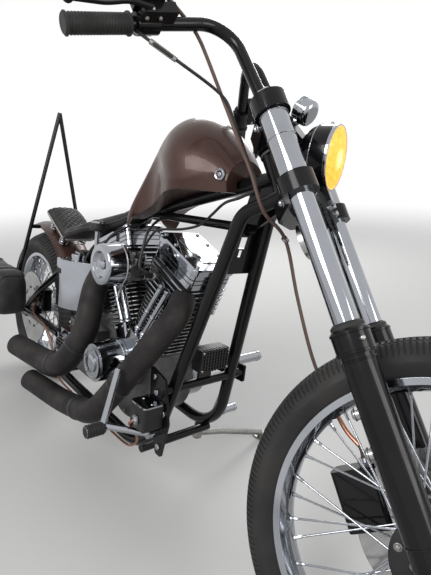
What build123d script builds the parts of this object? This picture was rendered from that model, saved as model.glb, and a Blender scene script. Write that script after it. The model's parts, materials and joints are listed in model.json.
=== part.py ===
from build123d import *
import math
import os

# A long-fork chopper motorcycle, parked on its side stand with the bars on the left steering stop.
# It is drawn upright and straight ahead in millimetres: X forward, Y to the rider's left, Z up,
# with zero on the ground just behind the rear axle. The last section steers, leans and grounds it.

# Stance
front_axle_x = 1690.0
rear_axle_x = 50.0
rake = 33.8
lean = 9.7
steer = 21.5
seat_gap = 0.3

# Wheels and tyres
front_tyre_radius = 345.0
front_tyre_width = 88.0
front_rim_radius = front_tyre_radius - 75
front_rim_width = 56.0
rear_tyre_radius = 314.0
rear_tyre_width = 130.0
rear_rim_radius = rear_tyre_radius - 98
rear_rim_width = 84.0
rim_flange = 9.0
rim_wall = 5.0
rim_depth = 16.0
spoke_radius = 2.0
spoke_count = 40
axle_radius = 9.5
axle_gap = 0.05
disc_radius = 146.0
disc_wall = 5.0

# Fork
fork_offset = 47.0
fork_length = 718.0
leg_spread = 124.0
tube_radius = 20.5
cover_radius = 25.5
slider_radius = 27.0
slider_top = -342.0
collar_radius = 31.0
collar_height = 42.0
lower_yoke_at = -88.0
upper_yoke_at = 70.0
yoke_thickness = 34.0
clamp_radius = 33.0
stem_radius = 14.0
stem_gap = 0.05
bearing_gap = 1.0

# Frame
head_tube_radius = 29.0
backbone_radius = 16.0
downtube_radius = 16.0
rail_height = 190.0
cradle_half_width = 115.0
plate_y = (133.0, 139.0)

# Engine
crank_x = 841.0
crank_z = 313.0
vee_half_angle = 22.5
barrel_base = 150.0
barrel_top = 285.0
barrel_core = 56.0
barrel_half = 76.0
barrel_half_width = 72.0
fin_count = 11
fin_wall = 3.2
head_top = 376.0
head_half_length = 88.0
head_half_width = 74.0
rocker_seam = 420.0
rocker_top = 437.0
rocker_half_length = 92.0
rocker_half_width = 67.0
pushrod_radius = 8.0

head_x = (
    front_axle_x
    - fork_offset * math.cos(math.radians(rake))
    - fork_length * math.sin(math.radians(rake))
)
head_z = (
    front_tyre_radius
    - fork_offset * math.sin(math.radians(rake))
    + fork_length * math.cos(math.radians(rake))
)
fork_forward = Vector(math.cos(math.radians(rake)), 0, math.sin(math.radians(rake)))
fork_up = Vector(-math.sin(math.radians(rake)), 0, math.cos(math.radians(rake)))
head = Location(Plane(origin=(head_x, 0, head_z), x_dir=fork_forward, z_dir=fork_up))
steered = head * Rot(Z=steer)
front_axle_at = Pos(fork_offset, 0, -fork_length)
rear_axle_at = Pos(rear_axle_x, 0, rear_tyre_radius)

# The parked stance: lean the steered bike, then pitch it until both tyres stand on the ground


def low_point(place, radius, width):
    """How high and how far forward the lowest point of a round-crowned tyre is."""
    middle = place.position
    axle = (place * Pos(0, 1, 0)).position - middle
    height = middle.Z - (radius - width / 2) * math.sqrt(1 - axle.Z ** 2) - width / 2
    return height, middle.X


def tyre_heights(pitch):
    """The low points of the front and the rear tyre when the leaning bike is pitched by an angle."""
    tilt = Rot(Y=pitch) * Rot(X=-lean)
    return (low_point(tilt * steered * front_axle_at, front_tyre_radius, front_tyre_width),
            low_point(tilt * rear_axle_at, rear_tyre_radius, rear_tyre_width))


pitch = 0.0
for attempt in range(8):
    front_low, rear_low = tyre_heights(pitch)
    pitch = pitch + math.degrees(math.atan2(front_low[0] - rear_low[0], front_low[1] - rear_low[1]))
ground = tyre_heights(pitch)[1][0]
stance = Pos(0, 0, -ground) * Rot(Y=pitch) * Rot(X=-lean)

nodes = {}
bodies = {"chassis": [], "fork": [], "front_wheel": [], "rear_wheel": [], "side_stand": []}


def keep(name, body, *solids):
    """Store a node with the body that it moves with."""
    nodes[name] = solids[0] if len(solids) == 1 else Compound(children=list(solids))
    bodies[body].append(name)


def rod(start, end, radius):
    """A round bar between two points."""
    axis = Vector(*end) - Vector(*start)
    return extrude(Plane(origin=start, z_dir=axis) * Circle(radius), amount=axis.length)


def bent_tube(points, bends, radius):
    """A bar along straight runs joined by tangent bends, one bend for each inner point."""
    path = FilletPolyline(*points, radius=bends)
    return sweep(Plane(origin=path @ 0, z_dir=path % 0) * Circle(radius), path=path)


def both_sides(shape):
    """The shape and its mirror image on the other side of the bike."""
    return [shape, mirror(shape, about=Plane.XZ)]


def joined(pieces):
    """One solid from pieces that overlap."""
    whole = pieces[0]
    for piece in pieces[1:]:
        whole = whole + piece
    return whole


def block(x, y, z, corner=0):
    """A box from three (low, high) pairs, with rounded vertical edges if asked."""
    plan = Pos((x[0] + x[1]) / 2, (y[0] + y[1]) / 2) * Rectangle(x[1] - x[0], y[1] - y[0])
    if corner:
        plan = fillet(plan.vertices(), corner)
    return Pos(0, 0, z[0]) * extrude(plan, amount=z[1] - z[0])


def drum(x, z, radius, y):
    """A disc or drum with its axis across the bike, between two values of y."""
    plane = Plane(origin=(x, y[0], z), x_dir=(1, 0, 0), z_dir=(0, 1, 0))
    return extrude(plane * Circle(radius), amount=y[1] - y[0])


def side_plate(outline, y, corner=0):
    """A plate cut to an outline of (x, z) points, between two values of y."""
    face = Plane.XZ * make_face(Polyline(*outline, close=True))
    if corner:
        face = fillet(face.vertices(), corner)
    return Pos(0, y[1], 0) * extrude(face, amount=y[1] - y[0])


def ring_sector(section, start, end):
    """A (radius, y) section swept round the rear axle between two angles above straight ahead."""
    return rear_axle_at * Rot(Y=-end) * revolve(section, axis=Axis.Y, revolution_arc=end - start)


def on_wheel(radius, angle, y=0):
    """A point at a radius and an angle above straight ahead, about the rear axle."""
    turn = math.radians(angle)
    return (rear_axle_x + radius * math.cos(turn), y, rear_tyre_radius + radius * math.sin(turn))


# Wheels, drawn round the origin with the axle along Y


def tyre(radius, width, rim_radius, rim_width):
    """A round-crowned road tyre with its beads down on the rim."""
    shoulder = radius - width / 2
    bead_top = rim_radius + rim_flange + 2
    section = make_face(
        Polyline((shoulder, -width / 2), (bead_top, -rim_width / 2), (rim_radius, -rim_width / 2),
                 (rim_radius, rim_width / 2), (bead_top, rim_width / 2), (shoulder, width / 2))
        + ThreePointArc((shoulder, width / 2), (radius, 0), (shoulder, -width / 2)))
    return revolve(section, axis=Axis.Y)


def rim(rim_radius, rim_width):
    """A laced rim: a shallow well between two turned-up flanges."""
    half = rim_width / 2 + seat_gap
    well = rim_radius - seat_gap
    lip = rim_radius + rim_flange
    section = Polygon(
        (well, -half),
        (lip, -half),
        (lip, -half - rim_wall),
        (well - 3, -half - rim_wall),
        (well - rim_depth, -half + 16),
        (well - rim_depth, half - 16),
        (well - 3, half + rim_wall),
        (lip, half + rim_wall),
        (lip, half),
        (well, half),
        align=None,
    )
    return revolve(section, axis=Axis.Y)


def hub(barrel, nose_radius, flange_radius, flange_at, nose):
    """A spoked hub: a barrel, a flange for the spokes each side and a nose for each bearing."""
    section = Polygon(
        (axle_radius + axle_gap, -nose),
        (nose_radius, -nose),
        (nose_radius, -flange_at - 4),
        (flange_radius, -flange_at - 3),
        (flange_radius, -flange_at + 3),
        (barrel * 1.1, -flange_at + 4),
        (barrel, -flange_at + 18),
        (barrel, flange_at - 18),
        (barrel * 1.1, flange_at - 4),
        (flange_radius, flange_at - 3),
        (flange_radius, flange_at + 3),
        (nose_radius, flange_at + 4),
        (nose_radius, nose),
        (axle_radius + axle_gap, nose),
        align=None,
    )
    return revolve(section, axis=Axis.Y)


def spokes(flange_radius, flange_at, rim_radius):
    """Crossed spokes, half to each flange, alternating inside and outside it."""
    inner = rim_radius - rim_depth - 4 * seat_gap
    root = flange_radius - 6
    lean_back = 38
    rim_spread = 6
    flange_clear = 3 + spoke_radius + 2 * seat_gap
    drift = (flange_at + flange_clear - rim_spread) * 8.5 / (inner - root)
    bars = []
    for index in range(spoke_count):
        side = 1 if index % 2 else -1
        outside = 1 if index % 4 < 2 else -1
        rim_angle = math.radians(index * 360 / spoke_count)
        hub_angle = rim_angle + math.radians(outside * lean_back)
        clear = flange_clear + drift if outside > 0 else flange_clear
        across = side * (flange_at + outside * clear)
        start = (root * math.cos(hub_angle), across, root * math.sin(hub_angle))
        end = (inner * math.cos(rim_angle), side * rim_spread, inner * math.sin(rim_angle))
        bars.append(rod(start, end, spoke_radius))
    return bars


def brake_disc(y, carrier):
    """A flat brake disc with a ring of slots round its carrier."""
    past = (y[0] - 1, y[1] + 1)
    plate = drum(0, 0, disc_radius, y) - drum(0, 0, carrier, past)
    for angle in range(0, 360, 36):
        plate = plate - Rot(Y=angle) * block((carrier + 52, carrier + 62), past, (-14, 14))
    return plate


front_hub_half = 62.0
front_flange = 56.0
front_flange_at = 34.0
front_nose = 21.0
hub_plate_radius = 74.0
disc_y = (56.0, 56.0 + disc_wall)
keep("front_tyre", "front_wheel",
     tyre(front_tyre_radius, front_tyre_width, front_rim_radius, front_rim_width))
keep("front_rim", "front_wheel", rim(front_rim_radius, front_rim_width))
keep("front_spokes", "front_wheel", *spokes(front_flange, front_flange_at, front_rim_radius))
hub_plate = drum(0, 0, hub_plate_radius, (-disc_y[1], -disc_y[0])) - drum(0, 0, front_nose - 2, (-90, 0))
front_hub = hub(26, front_nose, front_flange, front_flange_at, front_hub_half)
keep("front_hub", "front_wheel", front_hub + hub_plate)
keep("front_brake_disc", "front_wheel", brake_disc(disc_y, front_nose + seat_gap))

rear_hub_half = 84.0
rear_flange = 62.0
rear_flange_at = 38.0
rear_nose = 24.0
rear_disc_y = (-72.0, -72.0 + disc_wall)
keep("rear_tyre", "rear_wheel",
     tyre(rear_tyre_radius, rear_tyre_width, rear_rim_radius, rear_rim_width))
keep("rear_rim", "rear_wheel", rim(rear_rim_radius, rear_rim_width))
keep("rear_spokes", "rear_wheel", *spokes(rear_flange, rear_flange_at, rear_rim_radius))
keep("rear_hub", "rear_wheel", hub(30, rear_nose, rear_flange, rear_flange_at, rear_hub_half))
keep("rear_brake_disc", "rear_wheel", brake_disc(rear_disc_y, rear_nose + seat_gap))

# Final drive: a toothed pulley on the wheel's left, and the belt's small pulley on the gearbox
pulley_radius = 98.0
pulley_y = (70.0, 83.0)
gearbox_x = 560.0
gearbox_z = 322.0
small_pulley_radius = 46.0
belt_wall = 5.0
belt_gap = 0.4
pulley = drum(0, 0, pulley_radius, pulley_y) - drum(0, 0, rear_nose + seat_gap, (60, 90))
for angle in range(0, 360, 60):
    pulley = pulley - Rot(Y=angle) * drum(62, 0, 19, (60, 90))
keep("rear_pulley", "rear_wheel", pulley)


# Fork, drawn round the middle of the head tube: X forward of the steering axis, Z up it


def yoke(at, stem_hole):
    """One fork yoke: two clamps round the legs, joined by a bridge with the stem's boss."""
    plan = make_face(Polyline(
        (fork_offset + 14, -leg_spread), (fork_offset + 14, leg_spread),
        (fork_offset - 26, leg_spread - 16), (-30, 34), (-30, -34),
        (fork_offset - 26, -leg_spread + 16), close=True))
    for side in (-1, 1):
        plan = plan + Pos(fork_offset, side * leg_spread) * Circle(clamp_radius)
    for side in (-1, 1):
        plan = plan - Pos(fork_offset, side * leg_spread) * Circle(tube_radius + seat_gap)
    if stem_hole:
        plan = plan - Circle(stem_radius + seat_gap)
    return Pos(0, 0, at - yoke_thickness / 2) * extrude(plan, amount=yoke_thickness)


lower_face = lower_yoke_at + yoke_thickness / 2
upper_face = upper_yoke_at - yoke_thickness / 2
bar_foot = upper_yoke_at + yoke_thickness / 2
stem = Pos(0, 0, lower_face - 2) * extrude(Circle(stem_radius), amount=bar_foot - lower_face + 2)

# Handlebar: a narrow pair of uprights in risers, which bend out and back to the grips
bar_radius = 12.7
bar_half = 47.0
bar_root = 26.0
bar_lift = 1.3
bar_corner = (8.0, 52.0, 338.0)
bar_end = (-188.0, 333.0, 276.0)
bar_bend = 66.0
bar_tie_up = 92.0
grip_length = 125.0
grip_radius = 17.0
riser_radius = 21.0
riser_height = 34.0


def bar_side(side, radius):
    """One half of the bar, from the upper yoke to the grip's end."""
    return bent_tube([(bar_root, side * bar_half, bar_foot + bar_lift),
                      (bar_corner[0], side * bar_corner[1], bar_corner[2]),
                      (bar_end[0], side * bar_end[1], bar_end[2])], [bar_bend], radius)


tie = drum(21.5, bar_foot + bar_tie_up, 9, (-bar_half, bar_half))
keep("handlebar", "fork", joined([bar_side(1, bar_radius), tie, bar_side(-1, bar_radius)]))
upper_yoke = yoke(upper_yoke_at, True)
for side in (-1, 1):
    riser = Pos(bar_root, side * bar_half, bar_foot - 2) * extrude(Circle(riser_radius), amount=riser_height)
    upper_yoke = upper_yoke + riser
for side in (-1, 1):
    upper_yoke = upper_yoke - bar_side(side, bar_radius + seat_gap)
keep("upper_yoke", "fork", upper_yoke)

tube_bottom = slider_top - 60
tube_top = bar_foot + 6
slider_foot = -fork_length - 34
fork_tubes = []
sliders = []
for side in (-1, 1):
    leg = Pos(fork_offset, side * leg_spread)
    fork_tubes.append(leg * Pos(0, 0, tube_bottom) * extrude(Circle(tube_radius), amount=tube_top - tube_bottom))
    sleeve = Circle(cover_radius) - Circle(tube_radius + seat_gap)
    fork_tubes.append(leg * Pos(0, 0, lower_face + seat_gap)
                      * extrude(sleeve, amount=upper_face - lower_face - 2 * seat_gap))
    slider = Pos(0, 0, slider_foot) * extrude(Circle(slider_radius), amount=slider_top - slider_foot)
    collar = Pos(0, 0, slider_top - collar_height) * extrude(Circle(collar_radius), amount=collar_height)
    slider = slider + collar
    slider = chamfer(slider.faces().sort_by(Axis.Z)[-1].edges(), 4)
    boss = Pos(0, 0, -fork_length) * Box(54, 2 * slider_radius - 6, 58)
    slider = slider + fillet(boss.edges().filter_by(Axis.Y), 12)
    slider = slider - Pos(0, 0, tube_bottom - 4) * extrude(Circle(tube_radius + seat_gap), amount=900)
    slider = slider - Pos(0, 0, -fork_length) * Rot(X=90) * Cylinder(axle_radius + seat_gap, 200)
    sliders.append(leg * slider)
keep("fork_tubes", "fork", *fork_tubes)
keep("fork_sliders", "fork", *sliders)

spacer_gap = 0.5
spacer_radius = axle_radius + 7
front_axle_half = leg_spread + slider_radius + 8
front_axle = drum(fork_offset, -fork_length, axle_radius, (-front_axle_half, front_axle_half))
spacer_y = (front_hub_half + spacer_gap, leg_spread - slider_radius - seat_gap)
for spacer in both_sides(drum(fork_offset, -fork_length, spacer_radius, spacer_y)):
    front_axle = front_axle + spacer
keep("front_axle", "fork", front_axle)

# Front brake caliper, behind the left leg and astride the disc
disc_clear = 5.0
caliper_x = (fork_offset - disc_radius - 14, fork_offset - 76)
caliper_z = (-fork_length + 20, -fork_length + 132)
caliper_y = (45.0, 95.0)
caliper = block(caliper_x, caliper_y, caliper_z, 10)
caliper = caliper - drum(fork_offset, -fork_length, disc_radius + 8,
                         (disc_y[0] - disc_clear, disc_y[1] + disc_clear))
arm = block((caliper_x[1] - 14, fork_offset - slider_radius + 12), (disc_y[1] + disc_clear + 9, 112),
            (caliper_z[0] + 22, caliper_z[1] - 22))
leg_round = Pos(fork_offset, leg_spread, -900) * extrude(Circle(slider_radius + seat_gap), amount=500)
keep("front_caliper", "fork", caliper + (arm - leg_round))

# Headlamp: a short bucket that looks straight ahead, on a bracket from the lower yoke
lamp_radius = 61.0
lens_radius = 53.0
lamp_lip = 12.0
lamp_parallel = 22.0
lamp_depth = 61.0
lamp_back_radius = 16.0
lamp_front = (98.0, -13.0)
lamp_axis = Vector(math.cos(math.radians(rake)), 0, -math.sin(math.radians(rake)))
lamp = Location(Plane(origin=(lamp_front[0], 0, lamp_front[1]), x_dir=(0, 1, 0), z_dir=lamp_axis))
bucket_section = make_face(
    Polyline((0, 0), (lens_radius + seat_gap, 0), (lens_radius + seat_gap, lamp_lip),
             (lamp_radius, lamp_lip), (lamp_radius, -lamp_parallel))
    + ThreePointArc((lamp_radius, -lamp_parallel), (lamp_radius * 0.77, -lamp_depth * 0.73),
                    (lamp_back_radius, -lamp_depth))
    + Polyline((lamp_back_radius, -lamp_depth), (0, -lamp_depth), (0, 0)))
bucket = revolve(Plane.XZ * bucket_section, axis=Axis.Z)
lens_section = make_face(
    Polyline((6, 14), (0, 14), (0, seat_gap), (lens_radius, seat_gap), (lens_radius, 7))
    + ThreePointArc((lens_radius, 7), (lens_radius * 0.6, 12), (6, 14)))
lens = revolve(Plane.XZ * lens_section, axis=Axis.Z)
keep("headlamp_bucket", "fork", lamp * bucket)
keep("headlamp_lens", "fork", lamp * lens)
lamp_foot = Vector(lamp_front[0], 0, lamp_front[1]) - lamp_axis * 34
bracket = block((fork_offset, lamp_foot.X + 6), (-16, 16), (lower_yoke_at - 10, lower_yoke_at + 12))
bracket = bracket + block((lamp_foot.X - 18, lamp_foot.X + 6), (-16, 16), (lower_yoke_at + 10, -30))
bracket = bracket - lamp * Pos(0, 0, -lamp_depth) * extrude(Circle(lamp_radius + seat_gap), amount=200)
keep("lower_yoke", "fork", joined([yoke(lower_yoke_at, False), stem, bracket]))

# Grips, levers on their perches, and the brake's master cylinder over the right perch
grip_dir = (Vector(*bar_end) - Vector(*bar_corner)).normalized()
left_grip = Location(Plane(origin=bar_end, x_dir=Vector(1, 0, 0) - grip_dir * grip_dir.X,
                           z_dir=-1 * grip_dir))
grip_sleeve = Pos(0, 0, -6) * extrude(Circle(grip_radius), amount=grip_length)
grip_sleeve = grip_sleeve - Pos(0, 0, -seat_gap) * extrude(Circle(bar_radius + seat_gap), amount=grip_length + 20)
keep("grips", "fork", *both_sides(left_grip * grip_sleeve))
perch_low = grip_length + 4
perch_length = 46.0
perch_middle = perch_low + perch_length / 2
perch_radius = bar_radius + 7
perch_block_y = 11.0
perch_block_z = (perch_low + 3, perch_low + 74)
mirror_hole = 4.0
mirror_hole_x = 34.0
mirror_hole_z = perch_low + 64
mirror_hole_depth = 14.0
bar_room = Pos(0, 0, perch_low - 5) * extrude(Circle(bar_radius + seat_gap), amount=90)
perch = Pos(0, 0, perch_low) * extrude(Circle(perch_radius), amount=perch_length)
perch = perch + block((bar_radius + seat_gap, 43), (-perch_block_y, perch_block_y), perch_block_z)
lever_path = [(42, 0, perch_low + 22), (56, 0, perch_low - 30), (50, 0, 60), (58, 0, -6)]
lever = perch + bent_tube(lever_path, [60, 90], 5.5) + Pos(58, 0, -8) * Sphere(9.5)
mirror_plane = Plane(origin=(mirror_hole_x, perch_block_y, mirror_hole_z), z_dir=(0, -1, 0))
lever = lever - bar_room - extrude(mirror_plane * Circle(mirror_hole), amount=mirror_hole_depth)
keep("levers", "fork", *both_sides(left_grip * lever))
reservoir_height = 44.0
reservoir = Pos(38, perch_block_y + seat_gap + reservoir_height / 2, perch_middle) * Box(52, reservoir_height, 58)
reservoir = fillet(reservoir.edges().filter_by(Axis.Y), 8)
reservoir = reservoir - Pos(0, 0, perch_low - 20) * extrude(Circle(perch_radius + seat_gap), amount=90)
keep("front_master_cylinder", "fork", mirror(left_grip * reservoir, about=Plane.XZ))

# Speedometer: a small round cup in front of the bar's uprights
gauge_radius = 26.0
gauge_depth = 30.0
gauge_at = Location(Plane(origin=(79, 0, bar_foot + 23), x_dir=(0, 1, 0), z_dir=(-0.55, 0, 0.835)))
gauge = Pos(0, 0, -gauge_depth) * extrude(Circle(gauge_radius), amount=gauge_depth)
gauge = fillet(gauge.edges().sort_by(Axis.Z)[0], 11)
gauge_stay = block((40, 80), (-10, 10), (bar_foot + seat_gap, bar_foot + 6))
keep("speedometer", "fork", gauge_at * gauge + gauge_stay)

# Horn, hung under the lower yoke
horn_radius = 36.0
horn_top = lower_yoke_at - yoke_thickness / 2
horn_z = horn_top - 46
horn = extrude(Plane(origin=(-4, 0, horn_z), z_dir=(1, 0, 0)) * Circle(horn_radius), amount=34)
horn = horn + block((2, 14), (-14, 14), (horn_z + 20, horn_top - seat_gap))
keep("horn", "fork", horn)


# Frame


def on_axis(s, a=0):
    """The (x, z) place that is a ahead of the steering axis and s up it."""
    point = Vector(head_x, 0, head_z) + fork_up * s + fork_forward * a
    return (point.X, point.Z)


neck_low = lower_face + bearing_gap
neck_high = upper_face - bearing_gap
neck = head * Pos(0, 0, neck_low) * extrude(Circle(head_tube_radius), amount=neck_high - neck_low)
neck_bore = head * Pos(0, 0, neck_low - 5) * extrude(Circle(stem_radius + stem_gap), amount=neck_high - neck_low + 10)
spine_points = [(head_x - 18, 0, head_z - 8), (785, 0, 790), (556, 0, 690)]
spine_bend = 260.0
spine = bent_tube(spine_points, [spine_bend], backbone_radius)


def spine_height(x):
    """The height of the backbone's middle at a place along the bike."""
    front, knee, rear = spine_points
    low, high = (knee, front) if x > knee[0] else (rear, knee)
    return low[2] + (x - low[0]) * (high[2] - low[2]) / (high[0] - low[0])


downtube_top = (head_x - 57.5, 42, head_z - 89.5)
downtube_foot = (1036, cradle_half_width, rail_height)
rail_rear = (456, cradle_half_width, rail_height + 8)
throat = on_axis(neck_low + 22, -6)
cradle = bent_tube([(throat[0], 14, throat[1]), downtube_top, downtube_foot, rail_rear], [50, 150],
                   downtube_radius)
brace_front = (head_x - 61, 0, head_z - 120)
brace = rod(brace_front, (800, 0, spine_height(800) - 8), 11)
gusset = side_plate([(throat[0] - 4, throat[1] + 22), (throat[0] - 4, throat[1] - 26),
                     (brace_front[0] - 14, brace_front[2] - 17), (brace_front[0] - 40, brace_front[2] - 5),
                     (brace_front[0] - 14, head_z - 30)], (-4, 4))
post_radius = 13.0
post_points = [(562, 20, 684), (500, 48, 612), (456, 50, rail_height + 16)]
post_bend = 100.0
post = bent_tube(post_points, [post_bend], post_radius)
cross_front = (1085.0, 392.0)
cross_radius = 12.0
neck_plate = Plane(origin=(downtube_top[0] - 33, 0, downtube_top[2] - 81), x_dir=(0, 1, 0),
                   z_dir=(1, 0, -0.25)) * (
    Rectangle(108, 120) - Pos(0, 17) * Rectangle(24, 28) - Pos(0, -9) * Rectangle(14, 17))
tank_lugs_x = (836.0, 1096.0)
tank_lug_half = 26.7
tank_lug_radius = 8.0
swing_pivot = (425.0, 318.0)
pivot_radius = 17.0
pivot_lug_y = (50.0, 60.0)
oil_bar = (489.0, 560.0)
oil_inner_half = 104.0
pivot_lug = side_plate([(472, 298), (476, 338), (425, 343), (400, 318), (425, 293)], pivot_lug_y)
right_plate = side_plate([(1050, 446), (1110, 432), (1136, 330), (1118, 238), (1096, 238), (1058, 336),
                          (1050, 420)], (-plate_y[1], -plate_y[0]), 5)
left_plate = side_plate([(996, 414), (1100, 414), (1100, 366), (996, 362)], plate_y, 5)
frame = joined(
    [neck, spine, brace, gusset, extrude(neck_plate, amount=3, both=True),
     drum(*cross_front, cross_radius, (-plate_y[1] + 1, plate_y[1] - 1)),
     drum(1000, rail_height, cross_radius, (-cradle_half_width, cradle_half_width)),
     drum(456, rail_height + 8, 14, (-cradle_half_width, cradle_half_width)),
     drum(*oil_bar, 8, (-oil_inner_half + seat_gap, oil_inner_half - seat_gap)),
     block((420, 482), (-50, 50), (462, 469.7))]
    + [drum(x, spine_height(x), tank_lug_radius, (-tank_lug_half, tank_lug_half)) for x in tank_lugs_x]
    + both_sides(cradle) + both_sides(post) + both_sides(pivot_lug) + [right_plate, left_plate])
frame = frame - neck_bore - drum(*swing_pivot, pivot_radius + seat_gap, (-80, 80))

# Side stand, drawn in the parked pose: an eye on a tilted pin under the left rail, and a bent leg
# that ends ahead of the pin, so that the bike's weight holds it on its stop
stand_pivot = (stance * Pos(962, 112, rail_height - 42)).position
foot_wall = 6.0
stand_foot = Vector(stand_pivot.X + 30, stand_pivot.Y + 250, foot_wall + 9)
leg_run = (stand_foot - stand_pivot).normalized()
stand_axis = leg_run.cross(Vector(-1, 0, 0)).normalized()
leg_start = stand_pivot + leg_run * 10
stand_knee = stand_pivot + leg_run * 90 + stand_axis * 4
pin_radius = 6.0
pin_gap = 0.05
eye_half = 12.0
eye_gap = 0.6


def on_pin(along):
    """A point on the stand's hinge line, that far up it from the eye's middle."""
    return tuple(stand_pivot + stand_axis * along)


stand = rod(on_pin(-eye_half), on_pin(eye_half), 15)
stand = stand + bent_tube([tuple(leg_start), tuple(stand_knee), tuple(stand_foot)], [60], 9)
stand = stand - rod(on_pin(-20), on_pin(20), pin_radius + pin_gap)
stand = stand + Pos(stand_foot.X, stand_foot.Y, 0) * extrude(Ellipse(34, 22), amount=foot_wall)
stand = stand + Pos(stand_foot.X, stand_foot.Y, foot_wall - 1) * extrude(Circle(12), amount=12)
keep("side_stand", "side_stand", stand)
stand_lug = joined([rod(on_pin(eye_half + eye_gap), on_pin(46), 15),
                    rod(on_pin(-eye_half - 4), on_pin(eye_half + 4), pin_radius),
                    rod(on_pin(-eye_half - 4), on_pin(-eye_half - eye_gap), 10)])
keep("frame", "chassis", frame + stance.inverse() * stand_lug)

# Rear swingarm: a triangle each side between the pivot, the axle plate and the bridge over the wheel
arm_half = 108.0
swing_bridge = (392.0, 540.0)
arm_radius = 14.0
arm_rear = rear_axle_x + 30
lower_arm = rod((swing_pivot[0], arm_half, swing_pivot[1]), (arm_rear, arm_half, rear_tyre_radius), arm_radius)
upper_arm = bent_tube([(rear_axle_x + 22, arm_half, rear_tyre_radius + 4), (rear_axle_x + 190, arm_half, 436),
                       (swing_bridge[0], 92, swing_bridge[1])], [300], 12)
arm_stay = rod((swing_bridge[0], 34, swing_bridge[1]), (swing_pivot[0], 34, swing_pivot[1]), 12)
axle_plate_y = (arm_half - 6, arm_half + 6)
axle_plate = side_plate([(rear_axle_x - 46, rear_tyre_radius - 26), (rear_axle_x + 52, rear_tyre_radius - 26),
                         (rear_axle_x + 52, rear_tyre_radius + 30), (rear_axle_x - 46, rear_tyre_radius + 24)],
                        axle_plate_y, 10)
guard_radius = rear_tyre_radius + 44
bridge_angle = math.degrees(math.atan2(swing_bridge[1] - rear_tyre_radius, swing_bridge[0] - rear_axle_x))
guard_strut = rod((swing_bridge[0], 0, swing_bridge[1]), on_wheel(guard_radius + 2 * seat_gap, bridge_angle), 9)
swingarm = joined([drum(*swing_bridge, 12, (-96, 96)), drum(*swing_pivot, pivot_radius, (-arm_half, arm_half)),
                   guard_strut]
                  + both_sides(lower_arm) + both_sides(upper_arm) + both_sides(arm_stay) + both_sides(axle_plate))
swingarm = swingarm - drum(rear_axle_x, rear_tyre_radius, axle_radius + seat_gap, (-200, 200))
keep("rear_swingarm", "chassis", swingarm)
rear_axle_half = arm_half + 24
rear_axle_end = 18.0
rear_axle_end_radius = 8.0
rear_axle = drum(rear_axle_x, rear_tyre_radius, rear_axle_end_radius, (-rear_axle_half, rear_axle_half))
shank_half = rear_axle_half - rear_axle_end
rear_axle = rear_axle + drum(rear_axle_x, rear_tyre_radius, axle_radius, (-shank_half, shank_half))
rear_spacer = drum(rear_axle_x, rear_tyre_radius, spacer_radius,
                   (rear_hub_half + spacer_gap, axle_plate_y[0] - seat_gap))
for spacer in both_sides(rear_spacer):
    rear_axle = rear_axle + spacer
keep("rear_axle", "chassis", rear_axle)

# Rear brake caliper, inside the right arm and astride its disc
rear_caliper_y = (-91.0, -51.0)
rear_caliper = block((rear_axle_x + 76, rear_axle_x + 160), rear_caliper_y,
                     (rear_tyre_radius + 24, rear_tyre_radius + 108), 10)
rear_caliper = rear_caliper - drum(rear_axle_x, rear_tyre_radius, disc_radius + 8,
                                   (rear_disc_y[0] - disc_clear, rear_disc_y[1] + disc_clear))
rear_mount = block((rear_axle_x + 100, rear_axle_x + 136), (-arm_half, rear_caliper_y[0] + 8),
                   (rear_tyre_radius + 8, rear_tyre_radius + 31))
arm_round = rod((swing_pivot[0], -arm_half, swing_pivot[1]), (arm_rear, -arm_half, rear_tyre_radius),
                arm_radius + seat_gap)
keep("rear_caliper", "chassis", rear_caliper + (rear_mount - arm_round))


# Engine: crankcase, two finned cylinders at the vee's angles, rocker boxes and pushrods


def cylinder_frame(angle):
    """The frame of one cylinder: zero at the crank, Z up the bore, X forward across it."""
    tilt = math.radians(angle)
    return Location(Plane(origin=(crank_x, 0, crank_z), x_dir=(math.cos(tilt), 0, -math.sin(tilt)),
                          z_dir=(math.sin(tilt), 0, math.cos(tilt))))


def rounded(half_x, half_y, corner):
    """A rounded rectangle about the origin."""
    return RectangleRounded(2 * half_x, 2 * half_y, corner)


def finned(core, fin, low, high, count):
    """A core with evenly spaced fins from low to high."""
    body = Pos(0, 0, low) * extrude(core, amount=high - low)
    pitch = (high - low) / count
    for index in range(count):
        body = body + Pos(0, 0, low + (index + 0.5) * pitch - fin_wall / 2) * extrude(fin, amount=fin_wall)
    return body


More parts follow.
